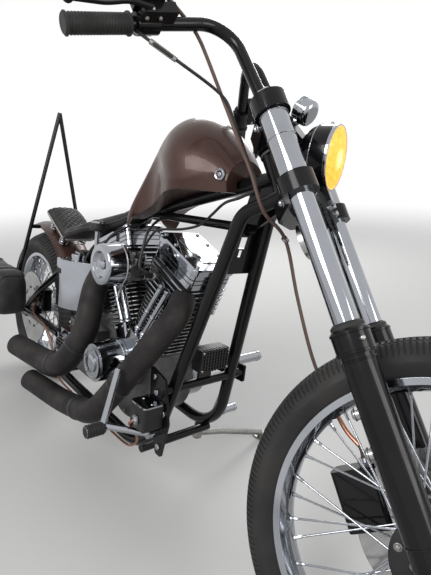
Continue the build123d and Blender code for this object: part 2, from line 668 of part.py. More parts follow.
cylinder_places = [cylinder_frame(-vee_half_angle), cylinder_frame(vee_half_angle)]
barrels = []
heads = []
head_rooms = []
rockers = []
case_half = 74.0
case = side_plate([(crank_x - 118, crank_z + 96), (crank_x - 96, crank_z + 128), (crank_x + 96, crank_z + 128),
                   (crank_x + 118, crank_z + 96), (crank_x + 112, crank_z), (crank_x - 112, crank_z)],
                  (-case_half, case_half), 4)
case = case + drum(crank_x, crank_z, 112, (-case_half, case_half))
barrel_room = Pos(0, 0, barrel_base - seat_gap) * extrude(
    rounded(barrel_half + seat_gap, barrel_half_width + seat_gap, 34), amount=barrel_top + 2 * seat_gap - barrel_base)
engine_rooms = [place * barrel_room for place in cylinder_places]
for room in engine_rooms:
    case = case - room
for place in cylinder_places:
    barrels.append(place * finned(Circle(barrel_core), rounded(barrel_half, barrel_half_width, 34),
                                  barrel_base, barrel_top, fin_count))
    heads.append(place * finned(rounded(58, 56, 20), rounded(head_half_length, head_half_width, 26),
                                barrel_top + seat_gap, head_top, 6))
    room = rounded(head_half_length + seat_gap, head_half_width + seat_gap, 26)
    head_rooms.append(place * Pos(0, 0, barrel_top) * extrude(room, amount=head_top + seat_gap - barrel_top))
    base = Pos(0, 0, head_top + seat_gap) * extrude(
        rounded(rocker_half_length - 5, rocker_half_width - 3, 16), amount=rocker_seam - head_top)
    lid = Pos(0, 0, rocker_seam) * extrude(
        rounded(rocker_half_length, rocker_half_width, 18), amount=rocker_top - rocker_seam)
    rockers.append(place * (base + chamfer(lid.faces().sort_by(Axis.Z)[-1].edges(), 4)))
    case = case + place * Pos(0, 0, 60) * extrude(Circle(66), amount=barrel_base - seat_gap - 60)
keep("crankcase", "chassis", case)
keep("cylinders", "chassis", *barrels)
keep("cylinder_heads", "chassis", *heads)
keep("rocker_boxes", "chassis", *rockers)

# Cam cover on the right with its round nose, and the two tappet blocks that stand on it
cam_x = 846.0
cam_z = 384.0
cam_face = -case_half - 34
nose_face = -186.0
cam_plan = [(cam_x - 74, cam_z - 34), (cam_x - 92, cam_z + 10), (cam_x - 78, cam_z + 32),
            (cam_x + 88, cam_z + 46), (cam_x + 112, cam_z + 22), (cam_x + 66, cam_z - 60),
            (cam_x - 8, cam_z - 76)]
cam_cover = side_plate(cam_plan, (cam_face, -case_half - seat_gap), 12)
nose_plane = Plane(origin=(cam_x, cam_face + 1, cam_z), x_dir=(1, 0, 0), z_dir=(0, -1, 0))
cam_cover = cam_cover + extrude(nose_plane * Circle(58), amount=cam_face + 1 - nose_face, taper=5)
timer_plane = Plane(origin=(cam_x, nose_face + 1, cam_z), x_dir=(1, 0, 0), z_dir=(0, -1, 0))
cam_cover = cam_cover + extrude(timer_plane * Circle(44), amount=8)
cam_cover = cam_cover - extrude(timer_plane.offset(6) * (Circle(34) - Circle(26)), amount=5)
tappet_base = 80.0
tappet_y = (-case_half - seat_gap - 40, -case_half - seat_gap)
rod_y = (tappet_y[0] + tappet_y[1]) / 2
rod_top_y = -head_half_width - pushrod_radius - 0.5
rod_top = barrel_top + 62
tappets = [
    # block's rear and front edge, its top, the rods' feet, the rods' tops
    ((40, 96), 158.0, (53, 84), (4, 52)),
    ((-22, 38), 188.0, (-4, 24), (16, 44)),
]
pushrods = []
for place, (edges, tappet_top, feet, tops) in zip(cylinder_places, tappets):
    cam_cover = cam_cover + place * block(edges, tappet_y, (tappet_base, tappet_top), 6)
    for foot_x, top_x in zip(feet, tops):
        rod_tilt = math.atan2(math.hypot(foot_x - top_x, rod_y - rod_top_y), rod_top - tappet_top)
        low_end = (foot_x, rod_y, tappet_top + seat_gap + pushrod_radius * math.sin(rod_tilt))
        pushrods.append(place * rod(low_end, (top_x, rod_top_y, rod_top), pushrod_radius))
keep("cam_cover", "chassis", cam_cover)
keep("pushrod_tubes", "chassis", *pushrods)

# Intake: manifold between the heads, carburettor and a deep round air cleaner
intake_z = 648.0
carb_y = (-134.0, -62.0)
carb = block((crank_x - 30, crank_x + 34), carb_y, (intake_z - 36, intake_z + 34), 8)
carb = carb + drum(crank_x, intake_z - 6, 21, (carb_y[1] - 2, 24))
runner = rod((crank_x - 62, 0, intake_z - 6), (crank_x + 62, 0, intake_z - 6), 17)
for room in head_rooms:
    runner = runner - room
keep("carburettor", "chassis", carb + runner)
cleaner_x = 862.0
cleaner_z = 655.0
cleaner_radius = 57.0
cleaner_depth = 59.7
cleaner_dish = 36.0
cleaner_plane = Plane(origin=(cleaner_x, carb_y[0] - seat_gap, cleaner_z), x_dir=(1, 0, 0), z_dir=(0, -1, 0))
cleaner = extrude(cleaner_plane * Circle(cleaner_radius), amount=cleaner_depth, taper=4)
cleaner = fillet(cleaner.faces().sort_by(Axis.Y)[0].edges(), 7)
cleaner = cleaner - extrude(cleaner_plane.offset(cleaner_depth - 12) * Circle(cleaner_dish), amount=20)
keep("air_cleaner", "chassis", cleaner)

# Exhausts: one pipe from each head, down the right side, with their ends turned out
pipe_wall = 3.0
mouth_depth = 90.0
pipe_runs = [
    # points from the head to the mouth, bend radii, pipe radius
    ([(1040, -56, 600), (1084, -104, 574), (1006, -160, 425), (905, -206, 268), (720, -208, 218),
      (532, -240, 218)], [40, 300, 120, 400], 32.0),
    ([(640, -66, 586), (704, -122, 556), (748, -166, 436), (700, -206, 322), (583, -208, 290),
      (395, -238, 288)], [70, 90, 110, 400], 36.0),
]
pipes = []
for points, bends, pipe_radius in pipe_runs:
    pipe = bent_tube(points, bends, pipe_radius)
    for room in head_rooms + engine_rooms:
        pipe = pipe - room
    tail = Vector(*points[-1])
    aim = (tail - Vector(*points[-2])).normalized()
    mouth = Plane(origin=tuple(tail - aim * mouth_depth), z_dir=aim) * Circle(pipe_radius - pipe_wall)
    pipes.append(pipe - extrude(mouth, amount=mouth_depth + 30))
keep("exhaust_pipes", "chassis", *pipes)

# Gearbox with the belt's small pulley, its end cover on the right and the primary case on the left
gearbox_y = (-108.0, 64.0)
primary_y = (86.0, 152.0)
primary_radius = 98.0
gearbox = block((505, 686), gearbox_y, (252, 408), 14)
gearbox = gearbox + drum(gearbox_x, gearbox_z, small_pulley_radius, (gearbox_y[1] - 2, pulley_y[1]))
gearbox = gearbox + drum(gearbox_x, gearbox_z, 24, (pulley_y[1] - 2, primary_y[0] - seat_gap))
keep("gearbox", "chassis", gearbox)
end_cover_y = (-158.0, gearbox_y[0] - seat_gap)
end_cover = drum(566, gearbox_z, 46, end_cover_y)
end_cover = end_cover + block((536, 604), (end_cover_y[0] + 8, end_cover_y[1]), (352, 386), 8)
for rib in range(-36, 40, 12):
    end_cover = end_cover - block((500, 632), (-170, -155), (gearbox_z + rib - 2, gearbox_z + rib + 2))
keep("gearbox_end_cover", "chassis", end_cover)
primary_plane = Plane(origin=((crank_x + gearbox_x) / 2, primary_y[0], (crank_z + gearbox_z) / 2 + 6),
                      x_dir=(1, 0, 0), z_dir=(0, 1, 0))
primary = extrude(primary_plane * SlotCenterToCenter(crank_x - gearbox_x, 2 * primary_radius),
                  amount=primary_y[1] - primary_y[0])
primary = chamfer(primary.faces().sort_by(Axis.Y)[-1].edges(), 10)
primary = primary + drum(crank_x, crank_z, 60, (case_half + seat_gap, primary_y[0] + 2))
keep("primary_case", "chassis", primary)

# Drive belt, one closed band round both pulleys


def belt_outline(extra):
    """The belt's outline round both pulleys, that much outside them."""
    big = pulley_radius + extra
    small = small_pulley_radius + extra
    reach = math.hypot(gearbox_x - rear_axle_x, gearbox_z - rear_tyre_radius)
    slope = math.atan2(gearbox_z - rear_tyre_radius, gearbox_x - rear_axle_x)
    open_angle = math.acos((big - small) / reach)
    marks = []
    wheel_centre = (rear_axle_x, rear_tyre_radius)
    for centre, size, turn in ((wheel_centre, big, 1), ((gearbox_x, gearbox_z), small, -1)):
        for side in (turn, 0, -turn):
            angle = slope + side * open_angle if side else slope + (math.pi if turn > 0 else 0)
            marks.append((centre[0] + size * math.cos(angle), centre[1] + size * math.sin(angle)))
    top, back, low, low_front, nose_point, top_front = marks
    edges = ThreePointArc(top, back, low) + Line(low, low_front)
    edges = edges + ThreePointArc(low_front, nose_point, top_front) + Line(top_front, top)
    return Plane.XZ * make_face(edges)


belt_y = (pulley_y[0] + 1, pulley_y[1] - 1)
belt_face = belt_outline(belt_gap + belt_wall) - belt_outline(belt_gap)
keep("drive_belt", "chassis", Pos(0, belt_y[1], 0) * extrude(belt_face, amount=belt_y[1] - belt_y[0]))

# Oil tank: a horseshoe round the seat posts, closed towards the engine, with the battery inside
oil_z = (440.0, 600.0)
oil_rear = 462.0
oil_turn = 500.0
oil_outer_half = 140.0


def horseshoe(half, nose, rear):
    """The plan of a horseshoe's edge: straight sides and a round front."""
    return make_face(Polyline((oil_turn, half), (rear, half), (rear, -half), (oil_turn, -half))
                     + ThreePointArc((oil_turn, -half), (nose, 0), (oil_turn, half)))


oil_plan = horseshoe(oil_outer_half, 606, oil_rear) - horseshoe(oil_inner_half, 552, oil_rear - 20)
oil_tank = Pos(0, 0, oil_z[0]) * extrude(oil_plan, amount=oil_z[1] - oil_z[0])
oil_tank = oil_tank + Pos(532, -100, oil_z[1] - 1) * extrude(Circle(19), amount=17)
keep("oil_tank", "chassis", oil_tank)
keep("battery", "chassis", block((420, 462), (-52, 52), (470, 616), 4))

# Fuel tank: a narrow hump over the backbone, with a tunnel under it
tank_sections = [
    # x, half width, low edge, shoulder, top
    (753, 38, 765, 781, 811),
    (836, 78, 788, 829, 911),
    (947, 95, 841, 920, 1028),
    (1033, 118, 862, 882, 1029),
    (1104, 89, 866, 900, 985),
    (1151, 60, 868, 890, 940),
]
slices = []
for x, half, low, shoulder, top in tank_sections:
    outline = Line((-half * 0.92, low), (half * 0.92, low)) + Line((half * 0.92, low), (half, shoulder))
    outline = outline + ThreePointArc((half, shoulder), (0, top), (-half, shoulder))
    outline = outline + Line((-half, shoulder), (-half * 0.92, low))
    slices.append(Plane(origin=(x, 0, 0), x_dir=(0, 1, 0), z_dir=(1, 0, 0)) * make_face(outline))
tunnel_roof = tank_lug_radius + seat_gap + 1
tunnel_x = (spine_points[2][0], spine_points[1][0], spine_points[0][0])
tunnel = side_plate([(tunnel_x[0], 500)] + [(x, spine_height(x) + tunnel_roof) for x in tunnel_x]
                    + [(tunnel_x[2], 500)], (-tank_lug_half - seat_gap, tank_lug_half + seat_gap))
spine_room = bent_tube(spine_points, [spine_bend], backbone_radius + 1)
keep("fuel_tank", "chassis", loft(slices) - tunnel - spine_room)

# Seat, moulded over the backbone's tail
seat_sections = [
    # x, half width, underside, top
    (400, 96, 650, 686),
    (470, 112, 664, 704),
    (550, 104, 690, 728),
    (640, 70, 712, 758),
    (700, 50, 735, 778),
    (742, 40, 758, 800),
]
seat = loft([Plane(origin=(x, 0, 0), x_dir=(0, 1, 0), z_dir=(1, 0, 0))
             * Pos(0, (low + high) / 2) * RectangleRounded(2 * half, high - low, 12)
             for x, half, low, high in seat_sections])
spine_tail = Vector(*spine_points[2])
spine_end = spine_tail + (spine_tail - Vector(*spine_points[1])).normalized() * 2
seat = seat - bent_tube(spine_points[:2] + [tuple(spine_end)], [spine_bend], backbone_radius + seat_gap)
post_top = Vector(*post_points[0])
post_end = post_top + (post_top - Vector(*post_points[1])).normalized() * 2
post_room = bent_tube([tuple(post_end)] + post_points[1:], [post_bend], post_radius + seat_gap)
for room in both_sides(post_room):
    seat = seat - room
keep("seat", "chassis", seat)

# Rear mudguard, and the quilted pad on its four stems
guard_half = 62.0
guard_wall = 3.0
guard_edge = rear_tyre_radius + 24
guard_arc = (18.0, 96.0)
pad_radius = (guard_radius + 54, guard_radius + 62, guard_radius + 88)
pad_half = (60.0, 42.0)
pad_arc = (51.0, 76.0)
stem_half = 36.0
guard_section = make_face(
    ThreePointArc((guard_edge, -guard_half), (guard_radius, 0), (guard_edge, guard_half))
    + Line((guard_edge, guard_half), (guard_edge, guard_half - guard_wall))
    + ThreePointArc((guard_edge, guard_half - guard_wall), (guard_radius - guard_wall, 0),
                    (guard_edge, guard_wall - guard_half))
    + Line((guard_edge, guard_wall - guard_half), (guard_edge, -guard_half)))
guard = ring_sector(guard_section, *guard_arc)
for angle in (pad_arc[0] + 5, pad_arc[1] - 5):
    for y in (-stem_half, stem_half):
        guard = guard + rod(on_wheel(guard_radius - 12, angle, y),
                            on_wheel(pad_radius[0] - seat_gap, angle, y), 8)
keep("rear_mudguard", "chassis", guard)
pad_section = Polygon(
    (pad_radius[0], -pad_half[0]), (pad_radius[1], -pad_half[0]), (pad_radius[2], -pad_half[1]),
    (pad_radius[2], pad_half[1]), (pad_radius[1], pad_half[0]), (pad_radius[0], pad_half[0]), align=None)
keep("passenger_pad", "chassis", ring_sector(pad_section, *pad_arc))

# The tall spire of the sissy bar, its bosses on the arms and the guard, the lamp on its left leg
# and the bag on the right
spire_x = rear_axle_x + 35
spire_top = 1095.0
spire_half = 148.0
spire_radius = 7.5
spire_bend_z = 430.0
spire_foot_z = rear_tyre_radius - 10
spire_side = bent_tube([(spire_x, 0, spire_top), (spire_x, spire_half, spire_bend_z),
                        (spire_x, spire_half, spire_foot_z)], [60], spire_radius)
arm_boss = drum(spire_x, rear_tyre_radius + 2, 10, (arm_half + arm_radius + seat_gap, spire_half))
guard_boss_z = rear_tyre_radius + math.sqrt((guard_edge + 4) ** 2 - (spire_x - rear_axle_x) ** 2)
guard_boss_half = spire_half * (spire_top - guard_boss_z) / (spire_top - spire_bend_z)
guard_boss = drum(spire_x, guard_boss_z, 8, (guard_half + seat_gap, guard_boss_half))
spire = joined(both_sides(spire_side) + both_sides(arm_boss) + both_sides(guard_boss))
keep("sissy_bar", "chassis", spire)
lamp_stay_x = (spire_x - 95, spire_x - spire_radius - seat_gap)
tail_lamp = extrude(Plane(origin=(lamp_stay_x[0] - 50, spire_half + 16, 392), z_dir=(1, 0, 0)) * Circle(30), amount=51)
tail_lamp = fillet(tail_lamp.faces().sort_by(Axis.X)[0].edges(), 8)
tail_lamp = tail_lamp + block(lamp_stay_x, (spire_half - 6, spire_half + 6), (382, 402))
keep("tail_lamp", "chassis", tail_lamp)
bag = block((-60, 300), (-285, -165), (352, 520))
bag = fillet(bag.edges().filter_by(Axis.X), 24)
bag = bag + block((spire_x - 15, spire_x + 15), (-170, -spire_half - spire_radius - seat_gap), (388, 420))
keep("saddlebag", "chassis", bag)

# Small pieces: breather cap, regulator, brake master cylinder, pedals and pegs
vent_x = 655.0
vent_y = -100.0
vent = Pos(vent_x, vent_y, 716) * extrude(Circle(20), amount=28)
vent = vent + Pos(vent_x, vent_y, 662) * extrude(Circle(6.5), amount=56)
vent = vent + drum(vent_x, 669, 5.5, (vent_y, -rocker_half_width + 3 - seat_gap))
keep("vent_cap", "chassis", vent)
regulator_base = cross_front[1] + cross_radius + seat_gap
regulator = block((1082, 1122), (-44, 44), (434, 490), 4)
for row in range(-36, 40, 9):
    regulator = regulator - block((1110, 1130), (row - 2.5, row + 2.5), (430, 500))
regulator = regulator + block((1082, 1090), (-20, 20), (regulator_base, 436))
keep("regulator", "chassis", regulator)
right_face = -plate_y[1] - seat_gap
keep("rear_master_cylinder", "chassis", block((1060, 1120), (-196, right_face), (318, 374), 6))
pedal = joined([rod((1014, -206, 436), (1034, -250, 306), 8), rod((1034, -246, 310), (1096, -160, 296), 8),
                drum(1034, 306, 13, (-292, -244)), drum(1096, 296, 11, (-168, right_face))])
keep("brake_pedal", "chassis", pedal)
left_face = plate_y[1] + seat_gap
left_peg = drum(1012, 388, 9, (left_face, 178)) + drum(1012, 388, 15, (176, 282))
shift_y = left_face + 7
shift = joined([drum(985, 214, 8, (shift_y, 180)), drum(985, 214, 12, (178, 236)),
                rod((985, shift_y, 214), (1040, shift_y, 378), 7)])
keep("left_controls", "chassis", left_peg, shift)

# The standing frame: zero on the ground in the middle of the whole bike's box
places = {"chassis": stance, "fork": stance * steered, "front_wheel": stance * steered * front_axle_at,
          "rear_wheel": stance * rear_axle_at, "side_stand": Location()}
owner = {name: body for body, names in bodies.items() for name in names}
parked = {name: places[owner[name]] * shape for name, shape in nodes.items()}
boxes = [shape.bounding_box() for shape in parked.values()]
middle_x = (min(box.min.X for box in boxes) + max(box.max.X for box in boxes)) / 2
middle_y = (min(box.min.Y for box in boxes) + max(box.max.Y for box in boxes)) / 2
floor = min(box.min.Z for box in boxes)
centred = Pos(-middle_x, -middle_y, -floor)

os.makedirs("parts", exist_ok=True)
for name, shape in parked.items():
    export_step(centred * shape, f"parts/{name}.step")
print("pitch", round(pitch, 3), "ground", round(ground, 2), "floor", round(floor, 3), "nodes", len(nodes))
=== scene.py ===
import json
import math
import bmesh
import bpy
from mathutils import Matrix, Vector


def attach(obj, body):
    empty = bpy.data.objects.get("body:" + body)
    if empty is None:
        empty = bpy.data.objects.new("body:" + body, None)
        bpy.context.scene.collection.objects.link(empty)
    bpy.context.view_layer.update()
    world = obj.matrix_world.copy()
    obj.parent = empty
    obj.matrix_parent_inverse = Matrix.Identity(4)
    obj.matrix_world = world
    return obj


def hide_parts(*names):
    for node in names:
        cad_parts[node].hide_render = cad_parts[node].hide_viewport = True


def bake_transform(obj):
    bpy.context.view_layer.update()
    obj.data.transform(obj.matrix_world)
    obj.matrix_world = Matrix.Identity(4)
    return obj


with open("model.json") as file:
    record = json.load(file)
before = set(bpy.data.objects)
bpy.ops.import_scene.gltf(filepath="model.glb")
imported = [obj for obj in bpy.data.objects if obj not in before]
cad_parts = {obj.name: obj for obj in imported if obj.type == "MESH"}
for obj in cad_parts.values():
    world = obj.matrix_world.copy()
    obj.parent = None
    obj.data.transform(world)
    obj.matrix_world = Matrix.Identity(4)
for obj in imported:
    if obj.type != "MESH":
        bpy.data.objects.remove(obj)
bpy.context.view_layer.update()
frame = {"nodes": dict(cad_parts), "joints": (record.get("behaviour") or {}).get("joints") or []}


def turn(degrees, axis):
    """A turn about an axis through zero."""
    return Matrix.Rotation(math.radians(degrees), 4, axis)


def at(x, y, z):
    """A shift."""
    return Matrix.Translation((x, y, z))


def set_out(origin, x_axis, y_axis, z_axis):
    """A place from its origin and its three axes."""
    return Matrix.Translation(origin) @ Matrix((x_axis, y_axis, z_axis)).transposed().to_4x4()


def facing(point, axis):
    """The place of a small piece that stands on a point and looks along an axis."""
    return Matrix.Translation(point) @ Vector(axis).to_track_quat("Z", "Y").to_matrix().to_4x4()


# Places: the bike's own drawing is upright in millimetres, so these turn its points to the standing frame
RAKE = 33.8
LEAN = 9.7
STEER = 21.5
PITCH = 0.384
AXLE_X = 50
AXLE_Z = 314
joint_at = {joint["name"]: Vector(joint["pos_m"]) for joint in frame["joints"]}
to_metres = Matrix.Scale(0.001, 4)
tilt = turn(PITCH, "Y") @ turn(-LEAN, "X")
bike = Matrix.Translation(joint_at["rear_wheel_spin"]) @ tilt @ to_metres @ at(-AXLE_X, 0, -AXLE_Z)
turned = tilt @ turn(-RAKE, "Y") @ turn(STEER, "Z")
fork = Matrix.Translation(joint_at["steering"]) @ turned @ to_metres
front_wheel = Matrix.Translation(joint_at["front_wheel_spin"]) @ turned @ to_metres
rear_wheel = Matrix.Translation(joint_at["rear_wheel_spin"]) @ tilt @ to_metres
AXLE_FRAME = turn(-90, "X")
mirrored = Matrix.Scale(-1, 4, (0, 1, 0))
SIDES = (-1, 1)
AHEAD = (1, 0, 0)
BEHIND = (-1, 0, 0)
ABOVE = (0, 0, 1)
BELOW = (0, 0, -1)
LEFT = (0, 1, 0)
RIGHT = (0, -1, 0)


def make_camera():
    """The camera at the photographer's place, measured from the rear axle before the bike's pitch."""
    level = turn(PITCH, "Y")
    yaw = math.radians(139.63)
    dip = math.radians(-18.52)
    roll = math.radians(-0.88)
    ahead = Vector((math.cos(yaw) * math.cos(dip), math.sin(yaw) * math.cos(dip), math.sin(dip)))
    side = Vector((math.sin(yaw), -math.cos(yaw), 0))
    top = side.cross(ahead)
    right = level @ (math.cos(roll) * side + math.sin(roll) * top)
    up = level @ (math.cos(roll) * top - math.sin(roll) * side)
    data = bpy.data.cameras.new("camera")
    data.sensor_fit = "HORIZONTAL"
    data.sensor_width = 36.0
    data.lens = 36.65
    data.clip_start = 0.02
    camera = bpy.data.objects.new("camera", data)
    eye = joint_at["rear_wheel_spin"] + level @ Vector((1.8134, -0.6020, 0.6608))
    camera.matrix_world = set_out(eye, right, up, -(level @ ahead))
    bpy.context.scene.collection.objects.link(camera)
    bpy.context.scene.camera = camera


make_camera()
bpy.context.scene.view_settings.view_transform = "Standard"

# Shader groups that the materials share

FLOAT = "NodeSocketFloat"
COLOR = "NodeSocketColor"
VECTOR = "NodeSocketVector"
BLACK = (0, 0, 0, 1)
WHITE = (1, 1, 1, 1)


def new_group(name, inputs, output, kind):
    """An empty shader group: its tree, what its inputs put out and the socket for its result."""
    group = bpy.data.node_groups.new(name, "ShaderNodeTree")
    for label, input_kind, value in inputs:
        socket = group.interface.new_socket(label, in_out="INPUT", socket_type=input_kind)
        socket.default_value = value
    group.interface.new_socket(output, in_out="OUTPUT", socket_type=kind)
    entry = group.nodes.new("NodeGroupInput")
    end = group.nodes.new("NodeGroupOutput")
    return group, entry.outputs, end.inputs[output]


def feed(tree, socket, value):
    """Give an input a value, or link it to the output that feeds it."""
    if isinstance(value, bpy.types.NodeSocket):
        tree.links.new(value, socket)
    else:
        socket.default_value = value


def add_node(tree, kind, *ordered, **named):
    """A node with some of its inputs fed, in order or by name."""
    node = tree.nodes.new(kind)
    for label, value in [*enumerate(ordered), *named.items()]:
        feed(tree, node.inputs[label if isinstance(label, int) else label.replace("_", " ")], value)
    return node


def object_place(tree):
    """Where a point lies on its object."""
    return tree.nodes.new("ShaderNodeTexCoord").outputs["Object"]


def noise_of(tree, scale, detail=2.0):
    """Noise over the object."""
    place = object_place(tree)
    return add_node(tree, "ShaderNodeTexNoise", Vector=place, Scale=scale, Detail=detail).outputs["Fac"]


def maths(tree, operation, first, second):
    """The result of a sum on two numbers or outputs."""
    node = add_node(tree, "ShaderNodeMath", first, second)
    node.operation = operation
    return node.outputs[0]


def measured(tree, operation, *vectors):
    """A length or a distance from vectors."""
    node = add_node(tree, "ShaderNodeVectorMath", *vectors)
    node.operation = operation
    return node.outputs["Value"]


def eased(tree, value, start, end):
    """A smooth rise from 0 to 1 between two values."""
    node = add_node(tree, "ShaderNodeMapRange", Value=value, From_Min=start, From_Max=end)
    node.interpolation_type = "SMOOTHSTEP"
    return node.outputs["Result"]


def mixed(tree, share, first, second):
    """Two colours mixed by a share."""
    node = add_node(tree, "ShaderNodeMix", Factor=share)
    node.data_type = "RGBA"
    feed(tree, node.inputs[6], first)
    feed(tree, node.inputs[7], second)
    return node.outputs[2]


def build_mottle():
    """Blotches of noise between two values."""
    group, entry, end = new_group(
        "mottle", [("Scale", FLOAT, 25.0), ("Low", FLOAT, 0.2), ("High", FLOAT, 0.4)], "Value", FLOAT)
    spread = add_node(group, "ShaderNodeMapRange", Value=noise_of(group, entry["Scale"], 6.0),
                      From_Min=0.32, From_Max=0.68, To_Min=entry["Low"], To_Max=entry["High"])
    group.links.new(spread.outputs["Result"], end)
    return group


def build_two_tone():
    """Two colours mixed by blotches, with fine specks over them."""
    group, entry, end = new_group(
        "two_tone",
        [("Base", COLOR, (0.5, 0.5, 0.5, 1)), ("Other", COLOR, (0.3, 0.3, 0.3, 1)), ("Scale", FLOAT, 12.0),
         ("Amount", FLOAT, 0.5), ("Specks", FLOAT, 0.1)], "Color", COLOR)
    large = noise_of(group, entry["Scale"], 5.0)
    fine = noise_of(group, 900.0)
    blotch = add_node(group, "ShaderNodeMapRange", Value=large, From_Min=0.4, From_Max=0.65)
    patch = maths(group, "MULTIPLY", blotch.outputs["Result"], entry["Amount"])
    speck = maths(group, "MULTIPLY", maths(group, "SUBTRACT", fine, 0.5), entry["Specks"])
    share = maths(group, "ADD", patch, speck)
    group.links.new(mixed(group, share, entry["Base"], entry["Other"]), end)
    return group


def build_relief():
    """A bumpy normal with softened edges."""
    group, entry, end = new_group(
        "relief", [("Scale", FLOAT, 300.0), ("Height", FLOAT, 0.2), ("Edge", FLOAT, 0.0008)],
        "Normal", VECTOR)
    soft = add_node(group, "ShaderNodeBevel", Radius=entry["Edge"])
    soft.samples = 6
    bump = add_node(group, "ShaderNodeBump", Strength=entry["Height"], Distance=0.0004,
                    Height=noise_of(group, entry["Scale"], 4.0), Normal=soft.outputs["Normal"])
    group.links.new(bump.outputs["Normal"], end)
    return group


mottle = build_mottle()
two_tone = build_two_tone()
relief = build_relief()


def use(tree, group, **values):
    """What an instance of a group puts out, with some of its inputs set."""
    node = tree.nodes.new("ShaderNodeGroup")
    node.node_tree = group
    for label, value in values.items():
        node.inputs[label].default_value = value
    return node.outputs[0]


def finish(name, base, other, rough, blotch, grain, metal=0.0, shine=0.5, coat=0.0, specks=0.1):
    """A material: blotched colour, uneven roughness and a fine grain with softened edges."""
    material = bpy.data.materials.new(name)
    material.use_nodes = True
    tree = material.node_tree
    shader = tree.nodes["Principled BSDF"]
    colour = use(tree, two_tone, Base=(*base, 1), Other=(*other, 1), Scale=blotch[0], Amount=blotch[1],
                 Specks=specks)
    tree.links.new(colour, shader.inputs["Base Color"])
    tree.links.new(use(tree, mottle, Low=rough[0], High=rough[1]), shader.inputs["Roughness"])
    tree.links.new(use(tree, relief, Scale=grain[0], Height=grain[1]), shader.inputs["Normal"])
    shader.inputs["Metallic"].default_value = metal
    shader.inputs["Coat Weight"].default_value = coat
    shader.inputs["Specular IOR Level"].default_value = shine
    return material


FINISHES = [
    # name, colour, colour of the blotches, roughness, size and strength of the blotches and of the grain,
    # then metal, shine, coat and specks
    ("tyre", (0.017, 0.017, 0.018), (0.04, 0.037, 0.034), (0.55, 0.8), (9, 0.5), (500, 0.3), 0, 0.25),
    ("chrome", (0.36, 0.375, 0.405), (0.27, 0.275, 0.29), (0.03, 0.11), (14, 0.35), (60, 0.02), 1),
    ("polished_alloy", (0.42, 0.42, 0.42), (0.28, 0.275, 0.265), (0.18, 0.34), (20, 0.5), (250, 0.1), 1),
    ("grey_alloy", (0.17, 0.17, 0.17), (0.09, 0.087, 0.084), (0.38, 0.62), (18, 0.7), (700, 0.5), 0.8),
    ("black_paint", (0.004, 0.004, 0.005), (0.011, 0.0105, 0.01), (0.12, 0.26), (10, 0.4), (90, 0.03),
     0, 0.14, 0.15),
    ("brown_rubber", (0.075, 0.045, 0.036), (0.12, 0.08, 0.065), (0.45, 0.65), (16, 0.5), (500, 0.4),
     0, 0.3),
    ("black_satin", (0.01, 0.01, 0.011), (0.028, 0.026, 0.025), (0.34, 0.52), (14, 0.5), (300, 0.15),
     0, 0.3),
    ("pipe_wrap", (0.014, 0.0125, 0.013), (0.034, 0.03, 0.028), (0.5, 0.75), (16, 0.7), (420, 0.5),
     0.3, 0.25),
    ("bronze_paint", (0.05, 0.022, 0.017), (0.075, 0.043, 0.034), (0.3, 0.46), (3.5, 0.6), (900, 0.12),
     0.4, 0.3, 0.2, 0.5),
    ("leather", (0.014, 0.0135, 0.014), (0.034, 0.032, 0.03), (0.42, 0.64), (22, 0.6), (520, 0.9), 0, 0.3),
    ("grey_vinyl", (0.035, 0.035, 0.038), (0.06, 0.058, 0.056), (0.4, 0.6), (18, 0.6), (600, 0.6), 0, 0.3),
    ("pale_piping", (0.4, 0.38, 0.35), (0.27, 0.255, 0.23), (0.4, 0.6), (30, 0.6), (600, 0.4)),
    ("rubber", (0.013, 0.013, 0.013), (0.034, 0.032, 0.03), (0.5, 0.75), (16, 0.5), (500, 0.4), 0, 0.3),
    ("steel", (0.3, 0.295, 0.285), (0.17, 0.155, 0.14), (0.25, 0.5), (24, 0.6), (300, 0.2), 1),
    # near-black fin colour: painted shade for the shadow that falls between the fins
    ("black_fins", (0.02, 0.02, 0.021), (0.05, 0.048, 0.045), (0.45, 0.7), (18, 0.6), (700, 0.4), 0.2, 0.3),
    ("copper", (0.4, 0.19, 0.13), (0.24, 0.12, 0.08), (0.25, 0.45), (30, 0.6), (300, 0.2), 1),
    ("red_lens", (0.35, 0.01, 0.01), (0.2, 0.005, 0.005), (0.1, 0.25), (14, 0.4), (100, 0.05)),
    ("amber_lens", (0.9, 0.45, 0.03), (0.95, 0.6, 0.12), (0.1, 0.2), (60, 0.5), (200, 0.1)),
]
materials = {row[0]: finish(*row) for row in FINISHES}


def light_lens():
    """The amber glass lit from behind, pale where the bulb stands."""
    tree = materials["amber_lens"].node_tree
    shader = tree.nodes["Principled BSDF"]
    glow = use(tree, two_tone, Base=(0.9, 0.24, 0.01, 1), Other=(1.0, 0.42, 0.06, 1), Scale=90.0, Amount=0.9,
               Specks=0.4)
    bulb = fork @ Vector((116, 0, -26))
    share = eased(tree, measured(tree, "DISTANCE", object_place(tree), bulb), 0.026, 0.008)
    tree.links.new(mixed(tree, share, glow, (1.0, 0.86, 0.5, 1)), shader.inputs["Emission Color"])
    shader.inputs["Emission Strength"].default_value = 0.75


light_lens()
